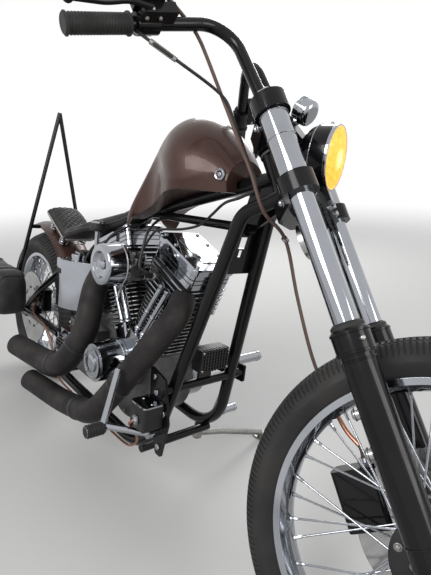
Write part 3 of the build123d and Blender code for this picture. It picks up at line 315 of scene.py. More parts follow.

# Finish of each CAD node
finish_of = {
    "tyre": "front_tyre rear_tyre",
    "chrome": "front_rim rear_rim fork_tubes speedometer rocker_boxes cam_cover pushrod_tubes air_cleaner "
              "gearbox_end_cover oil_tank left_controls brake_pedal front_axle rear_axle vent_cap "
              "primary_case front_spokes rear_spokes",
    "steel": "side_stand",
    "polished_alloy": "front_hub rear_hub front_brake_disc rear_brake_disc carburettor horn",
    "grey_alloy": "crankcase gearbox rear_pulley",
    # the barrels and heads carry the near-black fin colour, which paints the shade between their fins
    "black_fins": "cylinders cylinder_heads",
    "black_paint": "frame rear_swingarm handlebar upper_yoke lower_yoke fork_sliders sissy_bar levers "
                   "front_master_cylinder headlamp_bucket front_caliper rear_caliper",
    "black_satin": "regulator rear_master_cylinder battery",
    "pipe_wrap": "exhaust_pipes",
    "bronze_paint": "fuel_tank rear_mudguard",
    "leather": "seat saddlebag",
    "grey_vinyl": "passenger_pad",
    "rubber": "grips drive_belt",
    "red_lens": "tail_lamp",
    "amber_lens": "headlamp_lens",
}
for finish_name, node_names in finish_of.items():
    for node_name in node_names.split():
        mesh = frame["nodes"][node_name].data
        mesh.materials.clear()
        mesh.materials.append(materials[finish_name])


def build_smoother():
    """Geometry nodes that shade a mesh smooth except across sharp edges."""
    group = bpy.data.node_groups.new("smooth_by_angle", "GeometryNodeTree")
    for way in ("INPUT", "OUTPUT"):
        group.interface.new_socket("Geometry", in_out=way, socket_type="NodeSocketGeometry")
    chain = [group.nodes.new(kind) for kind in (
        "NodeGroupInput", "GeometryNodeMergeByDistance", "GeometryNodeSetShadeSmooth",
        "GeometryNodeSetShadeSmooth", "NodeGroupOutput")]
    for before, after in zip(chain, chain[1:]):
        group.links.new(before.outputs["Geometry"], after.inputs["Geometry"])
    weld = chain[1]
    weld.inputs["Distance"].default_value = 0.000002
    edges = chain[3]
    edges.domain = "EDGE"
    edges.inputs["Shade Smooth"].default_value = False
    angle = group.nodes.new("GeometryNodeInputMeshEdgeAngle")
    sharp = group.nodes.new("FunctionNodeCompare")
    sharp.inputs[1].default_value = math.radians(32)
    group.links.new(angle.outputs["Unsigned Angle"], sharp.inputs[0])
    group.links.new(sharp.outputs["Result"], edges.inputs["Selection"])
    return group


smoother = build_smoother()
for node in frame["nodes"].values():
    modifier = node.modifiers.new("smooth", "NODES")
    modifier.node_group = smoother

# Shapes: each is a list of points in millimetres and a list of faces


def circle(steps):
    """The angles of that many steps round a circle."""
    return [2 * math.pi * step / steps for step in range(steps)]


def sheet_of(rows, loops=False, closed=False, caps=False):
    """Faces over rows of points, which may be loops, close on the first row or end in caps."""
    points = [tuple(point) for row in rows for point in row]
    width = len(rows[0])
    faces = []
    for down in range(len(rows) if closed else len(rows) - 1):
        below = (down + 1) % len(rows)
        for along in range(width if loops else width - 1):
            after = (along + 1) % width
            faces.append((down * width + along, down * width + after, below * width + after,
                          below * width + along))
    if caps:
        faces += [tuple(range(width - 1, -1, -1)), tuple(range(len(points) - width, len(points)))]
    return points, faces


def lathe(profile, steps=24):
    """A (radius, height) profile turned round Z, closed at both ends."""
    rows = [[(radius * math.cos(a), radius * math.sin(a), height) for a in circle(steps)]
            for radius, height in profile]
    return sheet_of(rows, True, caps=True)


def ring(profile, steps=48):
    """A closed (radius, height) section turned round Z."""
    rows = [[(radius * math.cos(a), radius * math.sin(a), height) for radius, height in profile]
            for a in circle(steps)]
    return sheet_of(rows, True, closed=True)


def tube(path, radius, sides=12, closed=False):
    """A round tube along a line of points."""
    path = [Vector(point) for point in path]
    count = len(path)
    rows = []
    across = None
    for index in range(count):
        before = path[(index - 1) % count if closed else max(index - 1, 0)]
        after = path[(index + 1) % count if closed else min(index + 1, count - 1)]
        along = (after - before).normalized()
        if across is None:
            across = along.orthogonal().normalized()
        across = (across - along * across.dot(along)).normalized()
        other = along.cross(across)
        rows.append([path[index] + (across * math.cos(a) + other * math.sin(a)) * radius
                     for a in circle(sides)])
    return sheet_of(rows, True, closed, caps=not closed)


def box(x, y, z):
    """A block from three (low, high) pairs."""
    points = [(a, b, c) for a in x for b in y for c in z]
    faces = [(0, 1, 3, 2), (4, 6, 7, 5), (0, 4, 5, 1), (2, 3, 7, 6), (0, 2, 6, 4), (1, 5, 7, 3)]
    return points, faces


def moved(matrix, shape):
    """A shape put in place by a matrix."""
    points, faces = shape
    return [tuple(matrix @ Vector(point)) for point in points], faces


def turned_over(shape):
    """A shape with its faces turned over."""
    points, faces = shape
    return points, [face[::-1] for face in faces]


def piece(name, body, finish_name, place, shapes, sharp=32, turn_out=True):
    """An object from shapes in one place, riding on a body if one is named."""
    points = []
    faces = []
    for shape_points, shape_faces in shapes:
        start = len(points)
        points.extend(place @ Vector(point) for point in shape_points)
        faces.extend(tuple(index + start for index in face) for face in shape_faces)
    mesh = bpy.data.meshes.new(name)
    mesh.from_pydata(points, [], faces)
    if turn_out:
        shell = bmesh.new()
        shell.from_mesh(mesh)
        bmesh.ops.recalc_face_normals(shell, faces=shell.faces)
        shell.to_mesh(mesh)
        shell.free()
    mesh.shade_smooth()
    mesh.set_sharp_from_angle(angle=math.radians(sharp))
    mesh.materials.append(materials[finish_name])
    thing = bpy.data.objects.new(name, mesh)
    bpy.context.scene.collection.objects.link(thing)
    if body:
        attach(thing, body)
    return thing


def on_fork(name, finish_name, shapes, place=fork, sharp=32):
    """A piece that turns with the fork."""
    return piece(name, "fork", finish_name, place, shapes, sharp)


def on_bike(name, finish_name, shapes, place=bike, sharp=32):
    """A piece on the chassis."""
    return piece(name, "chassis", finish_name, place, shapes, sharp)


def post(point, axis, profile, steps=24):
    """A turned shape that stands on a point."""
    return moved(facing(point, axis), lathe(profile, steps))


def bolt(point, axis, radius, height):
    """A six-sided head with a small chamfer, standing on a point."""
    return post(point, axis, [(radius, -1.5), (radius, height * 0.8), (radius * 0.84, height)], 6)


def dome(point, axis, radius, height):
    """A domed round head, standing on a point."""
    profile = [(radius, -1.5), (radius, height * 0.3), (radius * 0.85, height * 0.7),
               (radius * 0.45, height)]
    return post(point, axis, profile, 16)


def washer(point, axis, radius, height):
    """A flat round disc, standing on a point."""
    return post(point, axis, [(radius, -1.5), (radius, height * 0.7), (radius * 0.94, height)], 20)


def band(radius, low, high, thick=1.2):
    """A raised ring round Z, for a tube of that radius."""
    edge = min(thick, (high - low) / 3)
    outer = radius + thick
    return ring([(radius - 1, low), (outer, low + edge), (outer, high - edge), (radius - 1, high)])


def hoop(point, axis, radius, low, high, thick):
    """A raised ring round an axis through a point."""
    return moved(facing(point, axis), band(radius, low, high, thick))


def spots_round(x, y, z, radius, degrees):
    """Points on a circle round a crosswise axis."""
    return [(x + radius * math.cos(a), y, z + radius * math.sin(a)) for a in map(math.radians, degrees)]


def rounded_loop(half_x, half_y, corner, steps=5):
    """The points of a rounded rectangle round Z."""
    loop = []
    for quarter, (side_x, side_y) in enumerate(((1, 1), (-1, 1), (-1, -1), (1, -1))):
        for step in range(steps + 1):
            angle = math.radians(90 * (quarter + step / steps))
            loop.append((side_x * (half_x - corner) + corner * math.cos(angle),
                         side_y * (half_y - corner) + corner * math.sin(angle)))
    return loop


def slab(half_x, half_y, corner, low, high):
    """A rounded plate between two heights."""
    loop = rounded_loop(half_x, half_y, corner)
    return sheet_of([[(x, y, height) for x, y in loop] for height in (low, high)], True, caps=True)


def edge_band(half_x, half_y, corner, middle, half, width):
    """A thin frame of metal round the edge of a plate."""
    outer = rounded_loop(half_x, half_y, corner)
    inner = rounded_loop(half_x - width, half_y - width, max(corner - width, 1))
    corners = [(inner, -half), (outer, -half), (outer, half), (inner, half), (inner, -half)]
    return sheet_of([[(x, y, middle + rise) for x, y in loop] for loop, rise in corners], True)


def curve_through(points, steps=8):
    """A smooth line through points."""
    points = [Vector(point) for point in points]
    line = []
    for index in range(len(points) - 1):
        before = points[max(index - 1, 0)]
        start = points[index]
        end = points[index + 1]
        after = points[min(index + 2, len(points) - 1)]
        bend = 2 * before - 5 * start + 4 * end - after
        twist = 3 * start - before - 3 * end + after
        for step in range(steps):
            t = step / steps
            line.append(0.5 * (2 * start + (end - before) * t + bend * t ** 2 + twist * t ** 3))
    line.append(points[-1])
    return line


def thick_sheet(outer, inner):
    """A closed shell between two grids of points of the same size."""
    border = len(outer)
    width = len(outer[0])
    points, faces = sheet_of(outer + inner[::-1])
    for along in range(width - 1):
        first = (2 * border - 1) * width + along
        faces.append((first, first + 1, along + 1, along))
    for edge in (0, width - 1):
        for down in range(border - 1):
            far = 2 * border - 2 - down
            face = [row * width + edge for row in (down, down + 1, far, far + 1)]
            faces.append(tuple(face if edge == 0 else face[::-1]))
    return points, faces


def power(value, exponent):
    """A signed power, for rounded squares."""
    return math.copysign(abs(value) ** exponent, value)


# Tyres with cut tread


def tyre_shape(half_section, pitch_count, depth):
    """A tyre round Y from half its section, with cross cuts in every pitch of the tread."""
    section = [(radius, -width, cut) for radius, width, cut in half_section]
    section += [(radius, width, cut) for radius, width, cut in reversed(half_section[:-1])]
    rows = []
    for pitch in range(pitch_count):
        for part, cut_here in ((0.0, False), (0.58, False), (0.66, True), (0.92, True)):
            angle = 2 * math.pi * (pitch + part) / pitch_count
            row = []
            for radius, width, cut in section:
                skew = math.copysign(0.35, width) * 2 * math.pi / pitch_count if cut else 0
                deep = radius - (depth if cut_here and cut else 0)
                row.append((deep * math.cos(angle + skew), width, deep * math.sin(angle + skew)))
            rows.append(row)
    rows.append(rows[0])
    return turned_over(sheet_of(rows))


front_half_section = [
    # radius, half width, cut or not
    (272, 27.5, False), (281, 29, False), (288, 35.5, False), (296, 41, False), (303, 43.6, False),
    (305, 44, False), (307, 43.4, False), (314, 42.6, False), (316, 41.2, False), (317.5, 40.5, False),
    (318.5, 40.2, True), (327, 35, True), (334, 28, True), (337, 23.6, True), (337.8, 22.2, False),
    (334.8, 21.4, False), (335.6, 18.4, False), (339.6, 17.8, True), (342.2, 12, True), (343.4, 6.5, True),
    (343.6, 5.2, False), (340.6, 4.6, False), (340.8, 2.4, False), (344.4, 1.9, False), (344.5, 0, False),
]
rear_half_section = [
    # radius, half width, cut or not
    (217.7, 41.5, False), (226.4, 43, False), (237.7, 54, False), (249, 61, False), (257.6, 64.4, False),
    (260.2, 65, False), (262.8, 64, False), (272.4, 61.5, False), (275.8, 59.5, False), (278.4, 57, True),
    (288, 49, True), (296.7, 39, True), (300.6, 32.5, True), (301.4, 31, False), (297.5, 29.5, False),
    (298.8, 26, False), (303.4, 25, True), (307.9, 17, True), (310.5, 9.5, True), (311.1, 8, False),
    (307.1, 7, False), (307.4, 4, False), (313.1, 3.2, False), (313.5, 0, False),
]
front_tyre = piece("front_tyre_tread", "front_wheel", "tyre", front_wheel,
                   [tyre_shape(front_half_section, 210, 3.2)], sharp=38, turn_out=False)
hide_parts("front_tyre")
rear_tyre = piece("rear_tyre_tread", "rear_wheel", "tyre", rear_wheel,
                  [tyre_shape(rear_half_section, 96, 5.5)], sharp=38, turn_out=False)
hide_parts("rear_tyre")

# Wheels: nipples, bolts on the discs, the dark plate on the front hub

SPOKES = 40
SPOKE_SLANT = 38


def nipples(flange_radius, flange_at, rim_radius):
    """The nuts that hold the spokes in the rim, in line with the spokes."""
    shapes = []
    inner = rim_radius - 17.2
    root = flange_radius - 6
    for index in range(SPOKES):
        side = 1 if index % 2 else -1
        outside = 1 if index % 4 < 2 else -1
        rim_angle = math.radians(index * 360 / SPOKES)
        hub_angle = rim_angle + math.radians(outside * SPOKE_SLANT)
        start = Vector((root * math.cos(hub_angle), side * (flange_at + outside * 6),
                        root * math.sin(hub_angle)))
        end = Vector((inner * math.cos(rim_angle), side * 6, inner * math.sin(rim_angle)))
        run = (start - end).normalized()
        shapes.append(post(end - run * 1.5, run, [(4.6, 0), (4.2, 3), (3.3, 4), (3.1, 15), (2.4, 16)], 8))
    return shapes


def bolt_circle(radius, count, y, size, height, first=0.0):
    """Domed bolts on a circle round the axle, standing on a face of the wheel."""
    side = LEFT if y > 0 else RIGHT
    shapes = []
    for spot in spots_round(0, y, 0, radius, [first + 360 * index / count for index in range(count)]):
        shapes.append(washer(spot, side, size * 1.3, 1.2))
        shapes.append(dome(spot, side, size, height))
    return shapes


piece("front_nipples", "front_wheel", "chrome", front_wheel, nipples(56, 34, 270))
piece("rear_nipples", "rear_wheel", "chrome", rear_wheel, nipples(62, 38, 216))
plate_face = ring([(23, -62.2), (73.5, -62.2), (75, -61.4), (75, -60), (23, -60)], 96)
piece("hub_plate_face", "front_wheel", "black_satin", front_wheel, [moved(AXLE_FRAME, plate_face)])
piece("hub_plate_bolts", "front_wheel", "steel", front_wheel,
      bolt_circle(62, 8, -62, 5.2, 5, 12) + bolt_circle(38, 5, -62, 5.2, 5, 30))
piece("front_disc_bolts", "front_wheel", "steel", front_wheel, bolt_circle(44, 5, 61, 6, 5))
piece("rear_disc_bolts", "rear_wheel", "steel", rear_wheel, bolt_circle(46, 5, -72, 6, 5))
piece("pulley_bolts", "rear_wheel", "steel", rear_wheel, bolt_circle(36, 6, 83, 5, 5, 30))
pulley_tooth = box((96.5, 98.3), (84, 85.5), (-2.4, 2.4))
piece("pulley_flange", "rear_wheel", "steel", rear_wheel,
      [moved(AXLE_FRAME, ring([(96, 82.5), (101.5, 82.5), (101.5, 84.5), (96, 84.5)]))]
      + [moved(turn(angle, "Y"), pulley_tooth) for angle in range(0, 360, 6)])

# Fork: caps, bolts, rings and bosses

LEG_X = 47.0
LEG_Y = 124.0
legs = [at(LEG_X, side * LEG_Y, 0) for side in SIDES]


def leg_bands(radius, lows, length, thick):
    """Raised rings on both legs, at some heights."""
    return [moved(leg, band(radius, low, low + length, thick)) for leg in legs for low in lows]


on_fork("tube_caps", "chrome", [bolt((LEG_X, side * LEG_Y, 94), ABOVE, 17, 9) for side in SIDES]
        + [bolt((0, 0, 88), ABOVE, 19, 10), dome((0, 0, 98), ABOVE, 13, 6)])
on_fork("yoke_bolts", "chrome",
        [dome((61, side * 84, height), AHEAD, 6.5, 6) for side in SIDES for height in (-96, -80, 62, 78)]
        + [dome((46, side * 47, height), AHEAD, 4.5, 5) for side in SIDES for height in (95, 110)])
pinch_bolts = []
for side in SIDES:
    for height in (-88, 70):
        aim = (-0.823, side * 0.567, 0)
        pinch_bolts += [washer((2, side * 80, height), aim, 9, 2), dome((0.6, side * 81, height), aim, 6, 7)]
on_fork("yoke_pinch_bolts", "chrome", pinch_bolts)
on_fork("cover_beads", "chrome", leg_bands(25.5, (0.5, -70.5, 47.5), 5, 1.5))
on_fork("slider_rings", "black_paint",
        leg_bands(31, (-383, -352), 6, 1.4) + leg_bands(27, (-395, -660, -752), 5, 1.4))
seal = ring([(20.9, -343), (27.5, -343), (27, -337), (22, -332.5), (20.9, -332.5)])
on_fork("dust_seals", "rubber", [moved(leg, seal) for leg in legs])
bosses = [(side * LEG_Y, height) for side in SIDES for height in (-470, -530)]
on_fork("guard_bosses", "polished_alloy",
        [post((21, y, z), BEHIND, [(9, -3), (9, 9), (7, 11)], 20) for y, z in bosses]
        + [hoop((16, y, z), BEHIND, 9, 0, 4, 1.6) for y, z in bosses])
on_fork("collar_bolts", "steel",
        [dome((LEG_X + 20, side * (LEG_Y + 23), -363), (0.66, side * 0.75, 0), 5, 5) for side in SIDES]
        + [dome((LEG_X, side * LEG_Y, -752), BELOW, 9, 6) for side in SIDES])
on_fork("front_axle_nuts", "chrome", [bolt((LEG_X, side * 151, -718), (0, side, 0), 16, 8) for side in SIDES]
        + [dome((LEG_X, side * 159, -718), (0, side, 0), 9, 4) for side in SIDES])
on_fork("front_caliper_bolts", "steel",
        [dome((x, 95, z), LEFT, 6, 5) for x in (-98, -44) for z in (-672, -612)]
        + [washer((-71, 95, z), LEFT, 15, 3) for z in (-664, -620)])
horn_face = (30, 0, -151)
on_fork("horn_rings", "chrome",
        [hoop(horn_face, AHEAD, radius, -0.5, 2.2, 1.2) for radius in (9, 17, 25, 33)]
        + [dome(horn_face, AHEAD, 6, 5)])

# Headlamp: fluted amber glass in a chromed rim, and its dark bucket's knob

LENS_RADIUS = 60
LENS_RINGS = 39
lamp_axis = Vector((math.cos(math.radians(RAKE)), 0, -math.sin(math.radians(RAKE))))
lamp = fork @ set_out((98, 0, -13), LEFT, lamp_axis.cross(Vector(LEFT)), lamp_axis)
lens_rows = []
for reach in range(LENS_RINGS + 1):
    radius = max(LENS_RADIUS * (reach / LENS_RINGS) ** 0.8, 0.05)
    row = []
    for angle in circle(168):
        x = radius * math.cos(angle)
        y = radius * math.sin(angle)
        flute = 0.8 * (1 - math.cos(2 * math.pi * x / 6.4)) + 0.35 * (1 - math.cos(2 * math.pi * y / 13))
        row.append((x, y, 22 - 9 * (radius / LENS_RADIUS) ** 2 - flute * (radius < 57)))
    lens_rows.append(row)
lens_rows.append([(x, y, 7) for x, y, _ in lens_rows[-1]])
lens_face = turned_over(sheet_of(lens_rows, True))
lens_glass = on_fork("headlamp_glass", "amber_lens", [lens_face], lamp, sharp=60)
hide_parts("headlamp_lens")
on_fork("headlamp_rim", "chrome",
        [ring([(60.8, 7), (62.2, 7.4), (62.4, 12), (61.4, 13.6), (59.8, 14), (59.4, 12.2)], 96)], lamp)
on_fork("headlamp_fittings", "chrome",
        [dome((0, 61, -12), LEFT, 6, 8), dome((0, -61, 4), RIGHT, 3, 3), band(61, -24, -21, 1.0),
         moved(at(0, 0, -61), lathe([(14, -3), (14, 2), (11, 3)]))], lamp)

# Speedometer: rim, dial with ticks, needle

gauge = fork @ set_out((79, 0, 110), LEFT, (-0.835, 0, -0.55), (-0.55, 0, 0.835))
on_fork("gauge_rim", "chrome", [ring([(22.5, 0.2), (26.8, -4), (26.8, 2), (25, 4), (22.5, 3)])], gauge)
on_fork("gauge_dial", "black_satin", [lathe([(22.6, -0.5), (22.6, 0.8)], 40)], gauge)
on_fork("gauge_marks", "pale_piping",
        [moved(turn(angle, "Z"), box((17.5, 21), (-0.4, 0.4), (0.7, 1.2))) for angle in range(-40, 221, 20)]
        + [moved(turn(205, "Z"), box((-4, 16), (-0.6, 0.6), (1.4, 2)))], gauge)

# Grips, switches, and the reservoir's lid

grip_end = Vector((-188, 333, 276))
bar_inward = (Vector((8, 52, 338)) - grip_end).normalized()
bar_ahead = (Vector(AHEAD) - bar_inward * bar_inward.x).normalized()
left_grip = set_out(grip_end, bar_ahead, bar_inward.cross(bar_ahead), bar_inward)
right_grip = mirrored @ left_grip


def on_grips(name, finish_name, shapes, grips=(left_grip, right_grip)):
    """A piece made alike on the grips."""
    on_fork(name, finish_name, [moved(grip, shape) for grip in grips for shape in shapes])


on_grips("grip_ribs", "rubber",
         [band(17, z, z + 3.6, 1.3) for z in range(4, 108, 6)] + [band(17, -5, 0, 3), band(17, 112, 119, 4)])
on_grips("perch_bolts", "steel",
         [dome((28, side * 11, z), (0, side, 0), 4.2, 4) for side in SIDES for z in (140, 168)]
         + [dome((42, 0, 151), (0, side, 0), 4, 8) for side in SIDES])
on_grips("perch_caps", "black_paint",
         [moved(turn(180, "Z") @ at(0, 0, 153), box((13.2, 22), (-9, 9), (-16, 16)))])
on_grips("reservoir_lid", "black_satin",
         [moved(at(38, 55.2, 152) @ turn(-90, "X"), slab(27, 30, 9, 0, 4.5))], [right_grip])
on_grips("reservoir_screws", "steel",
         [dome((x, 59.6, z), LEFT, 3.4, 2) for x in (20, 56) for z in (131, 173)], [right_grip])

# Brake hose down the fork, and the throttle cable to the carburettor

hose_line = curve_through([
    (-50, -204, 335), (-50, -185, 336), (-48, -125, 325), (-46, -106, 303), (-46, -94, 270), (-45, -82, 178),
    (-43, -80, 124), (-39, -84, 55), (-35, -87, -8), (-40, -70, -84), (-42, 20, -126), (-71, 70, -243),
    (-83, 80, -382), (-66, 75, -506), (-45, 70, -555), (-50, 70, -584)])
on_fork("brake_hose", "brown_rubber", [tube(hose_line, 3.8, 10)])
IN_SHEATH = slice(98, 112)
on_fork("hose_sheath", "copper", [tube(hose_line[IN_SHEATH], 4.6, 10)])
on_fork("hose_ends", "chrome",
        [bolt((-50, 70, -586), ABOVE, 8, 8), post((-50, 70, -580), ABOVE, [(9, -3), (9, 6)], 20),
         post((-50, -204, 335), RIGHT, [(6, -12), (6, 2)], 6),
         post((-42, 20, -124), (0, 0.9, -0.4), [(6.5, -6), (6.5, 6)], 12)])
throttle_fork = [(-119, -222, 290), (-95, -228, 245), (-70, -196, 207), (-41, -95, 168), (-39, -75, 120),
                 (-42, -58, 40), (-44, -50, -20)]
throttle_frame = [(1215, -70, 862), (1155, -60, 845), (1100, -45, 815), (1055, -40, 786), (1000, -50, 768),
                  (937, -74, 757), (905, -76, 735), (890, -86, 700), (878, -98, 668)]
throttle_line = curve_through([fork @ Vector(point) for point in throttle_fork]
                              + [bike @ Vector(point) for point in throttle_frame])
cable = piece("throttle_cable", None, "rubber", Matrix.Identity(4), [tube(throttle_line, 0.0032, 10)])
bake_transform(cable)
on_fork("throttle_adjuster", "steel",
        [tube(curve_through([(-100, -227, 254), (-95, -228, 245), (-70, -196, 207)], 4)[4:], 5.2, 10),
         post((-119, -222, 290), (0.4, -0.1, -0.9), [(6, -14), (6, 4), (4.5, 12)], 12)])

# Frame and tank fittings

on_bike("frame_bolts", "chrome",
        [bolt((x, -139, z), RIGHT, 8, 6)
         for x, z in ((1072, 428), (1118, 352), (1108, 262), (1085, 392))]
        + [bolt((x, 139, z), LEFT, 8, 6) for x, z in ((1085, 392), (1008, 402))]
        + [bolt((425, side * 108, 318), (0, side, 0), 13, 8) for side in SIDES]
        + [bolt((489, side * 104, 560), (0, side, 0), 6, 4) for side in SIDES])
on_bike("tank_mount", "chrome",
        [moved(facing((1136, side * 66, 903), (0.25, side, 0)), shape) for side in SIDES for shape in (
            ring([(8, -4), (13, -4), (13, 3), (11, 5), (8, 4)]), lathe([(6, -4), (6, 3), (4, 4.5)], 6))])
filler = ((990, 55, 1012), (0, 0.508, 0.861))
on_bike("filler_cap", "chrome",
        [post(*filler, [(27, -4), (27, 3), (25, 6), (18, 8), (2, 9)], 40), hoop(*filler, 27, -1, 4, 1)])
on_bike("bearing_cups", "steel", [band(29, low, low + 7, 2) for low in (-69, 44.5)],
        bike @ at(1251.2, 0, 915.4) @ turn(-RAKE, "Y"))
on_bike("rear_axle_nuts", "chrome",
        [bolt((AXLE_X, side * 115, AXLE_Z), (0, side, 0), 15, 10) for side in SIDES]
        + [bolt((8, side * 108, AXLE_Z), BEHIND, 6, 12) for side in SIDES])

# Engine: each cylinder's frame has zero at the crank, Z up the bore and X ahead across it

CRANK_X = 841
CRANK_Z = 313
BARREL_FINS = 11
HEAD_FINS = 6
cylinders = {which: bike @ at(CRANK_X, 0, CRANK_Z) @ turn(lean, "Y")
             for which, lean in (("rear", -22.5), ("front", 22.5))}
pushrods = {"rear": [((53, 158), (4, 347)), ((84, 158), (52, 347))],
            "front": [((-4, 188), (16, 347)), ((24, 188), (44, 347))]}
plug_x = {"rear": -17, "front": -38}
for which, place in cylinders.items():
    # The barrels and heads are coloured near-black, which paints the shade between the fins; these bands
    # give the fins their bright metal edges.
    on_bike(which + "_barrel_edges", "polished_alloy",
            [edge_band(76.3, 72.3, 34, 150 + (i + 0.5) * 135 / BARREL_FINS, 1.5, 3)
             for i in range(BARREL_FINS)], place, sharp=20)
    on_bike(which + "_head_edges", "chrome",
            [edge_band(88.3, 74.3, 26, 285.3 + (i + 0.5) * 90.7 / HEAD_FINS, 1.9, 4)
             for i in range(HEAD_FINS)], place, sharp=20)
    on_bike(which + "_rocker_seams", "rubber",
            [slab(87.5, 64.5, 16.5, z, z + 2.2) for z in (392, 404, 417.6)], place)
    on_bike(which + "_rocker_bolts", "chrome",
            [dome((x, y, 437), ABOVE, 5.5, 5) for x in (-76, -26, 26, 76) for y in (-52, 52)]
            + [slab(60, 26, 10, 436, 439)], place)
    collars = []
    for foot, top in pushrods[which]:
        low = Vector((foot[0], -94.3, foot[1] + 1.2))
        high = Vector((top[0], -82.5, top[1]))
        run = (high - low).normalized()
        collars += [post(low, run, [(11, 0), (11, 5), (9.5, 8), (8, 10)], 20),
                    hoop(low + run * 62, run, 8, 0, 9, 2.2), hoop(low + run * 84, run, 8, 0, 4, 1.4),
                    post(high - run * 10, run, [(8, -2), (11, 3), (11, 9)], 20)]
    on_bike(which + "_rod_collars", "chrome", collars, place)
    spot = Vector((plug_x[which], -74, 332))
    aim = Vector((0, -0.92, 0.4)).normalized()
    on_bike(which + "_spark_plug", "steel", [post(spot, aim, [(9, -4), (9, 5), (6, 6), (6, 16)], 6)], place)
    on_bike(which + "_plug_boot", "rubber",
            [post(spot + aim * 12, aim, [(7.5, 0), (8.5, 3), (7.5, 22), (5, 30)], 16)], place)

front_plug, rear_plug = (bike.inverted() @ cylinders[which] @ Vector((plug_x[which], -110, 348))
                         for which in ("front", "rear"))
on_bike("spark_leads", "black_satin", [tube(curve_through(route), 3.8, 10) for route in (
    [front_plug, front_plug + Vector((0, -14, 14)), (926, -112, 700), (915, -92, 748), (900, -55, 776),
     (892, -24, 782)],
    [rear_plug, rear_plug + Vector((2, -14, 14)), (716, -120, 668), (742, -96, 716), (760, -50, 745),
     (772, -22, 752)])])

cam_screws = [dome((x, -108, z), RIGHT, 4.6, 4) for x, z in (
    (781, 352), (764, 394), (777, 410), (926, 420), (946, 405), (908, 338), (842, 318))]
timer_spots = spots_round(846, -193, 384, 39, range(18, 378, 72))
cam_screws += [dome(spot, RIGHT, 3.2, 2.5) for spot in timer_spots]
cam_screws += [moved(bike.inverted() @ cylinders[which], dome((x, -114.3, top - 9), RIGHT, 3.8, 4))
               for which, xs, top in (("rear", (48, 88), 158), ("front", (-15, 31), 188)) for x in xs]
on_bike("cam_screws", "steel", cam_screws)
on_bike("timer_cover", "chrome",
        [post((846, -192, 384), RIGHT, [(24, 0), (24, 2.5), (20, 4.5), (8, 5.5)], 48),
         hoop((846, -120, 384), RIGHT, 57, 0, 4, 1.2)])
case_spots = spots_round(CRANK_X, -74, CRANK_Z, 101, (-10, -35, -62, -90, -118, -145, -170))
on_bike("case_bolts", "steel", [bolt(spot, RIGHT, 5.5, 5) for spot in case_spots])
bowl = ring([(14, -1), (35.7, -1), (35.7, 11.4), (34.6, 11.4), (30, 4), (14, 1)], 64)
on_bike("cleaner_bowl", "chrome",
        [moved(facing((862, -182, 655), RIGHT), bowl),
         post((862, -180, 655), RIGHT, [(12, -2), (12, 5), (10, 8), (4, 9)], 32),
         hoop((862, -141, 655), RIGHT, 57, 0, 5, 1.6)])
on_bike("carburettor_fittings", "steel",
        [bolt((x, -98, 682), ABOVE, 5, 5) for x in (822, 864)]
        + [post((878, -98, 666), (0.2, 0, 1), [(6, -14), (6, 2), (4, 8)], 12),
           washer((875, -98, 640), AHEAD, 17, 6), bolt((843, -98, 612), BELOW, 11, 10),
           tube(curve_through([(843, -98, 601), (838, -112, 585), (842, -124, 560)]), 4, 10)])

clamps = []
for points, radius, upper, lower in (
        # a straight run and the one after it, the pipe's radius, and a clamp's place on each run
        ([(1006, -160, 425), (905, -206, 268), (720, -208, 218)], 32, 70, 90),
        ([(748, -166, 436), (700, -206, 322), (583, -208, 290)], 36, 52, 61)):
    top, bend, end = (Vector(point) for point in points)
    for start, after, reach, half in ((top, bend, upper, 6), (bend, end, lower, 7)):
        run = (after - start).normalized()
        clamps.append(hoop(start + run * reach, run, radius, -half, half, 1.8))
on_bike("pipe_clamps", "black_satin", clamps)
cover_spots = spots_round(566, -158, 322, 40, range(10, 370, 60))
on_bike("end_cover_bolts", "steel", [dome(spot, RIGHT, 4, 3.5) for spot in cover_spots])
on_bike("gearbox_bolts", "steel",
        [bolt((x, y, 408), ABOVE, 5.5, 5) for x in (520, 560, 630, 672) for y in (-92, 48)]
        + [bolt((x, -108, z), RIGHT, 5.5, 5) for x in (520, 672) for z in (268, 392)])
primary_spots = []
for angle in range(15, 375, 30):
    centre = CRANK_X if math.cos(math.radians(angle)) > 0 else 560
    primary_spots += spots_round(centre, 152, 323.5, 84, [angle])
primary_spots += [(x, 152, z) for x in (640, 760) for z in (239, 408)]
on_bike("primary_bolts", "steel", [dome(spot, LEFT, 5, 4) for spot in primary_spots])
derby_spots = spots_round(560, 156.5, 323, 50, range(18, 378, 72)) + [(x, 155.5, 323) for x in (656, 744)]
on_bike("primary_covers", "chrome",
        [post((560, 152, 323), LEFT, [(60, -1), (60, 3), (57, 5), (20, 6.5), (3, 7)], 64),
         post((CRANK_X, 152, 323), LEFT, [(52, -1), (52, 2), (50, 3.5), (30, 4)], 64),
         moved(at(700, 152, 323) @ turn(-90, "X"), slab(52, 24, 23, -1, 4))]
        + [dome(spot, LEFT, 4, 3) for spot in derby_spots])

# Tanks, battery, regulator and small fittings

on_bike("oil_cap", "chrome",
        [moved(at(532, -100, 613), lathe([(20.5, -2), (20.5, 7), (18, 10), (4, 12)], 32)),
         moved(at(532, -100, 600), band(19, 0.5, 4, 2.5)), tube([(514, -100, 626), (550, -100, 626)], 3)])
on_bike("oil_tank_tag", "black_satin",
        [moved(at(482, -140, 560) @ turn(90, "X"), slab(15, 8, 3, -0.5, 1.2))])
on_bike("oil_lines", "rubber", [tube(curve_through(route), 5.5) for route in (
    [(560, 60, 444), (566, 56, 430), (590, 52, 418), (640, 50, 412), (690, 48, 408)],
    [(560, -60, 444), (572, -60, 430), (620, -58, 420), (690, -58, 408), (730, -60, 400)])])
on_bike("battery_straps", "rubber", [box(x, (y - 9, y + 9), z) for x, z in (
    ((418.6, 463.4), (612, 618)), ((418, 421), (472, 617))) for y in (-30, 30)])
on_bike("battery_posts", "steel", [bolt((441, y, 616), ABOVE, 6, 9) for y in (-8, 8)])
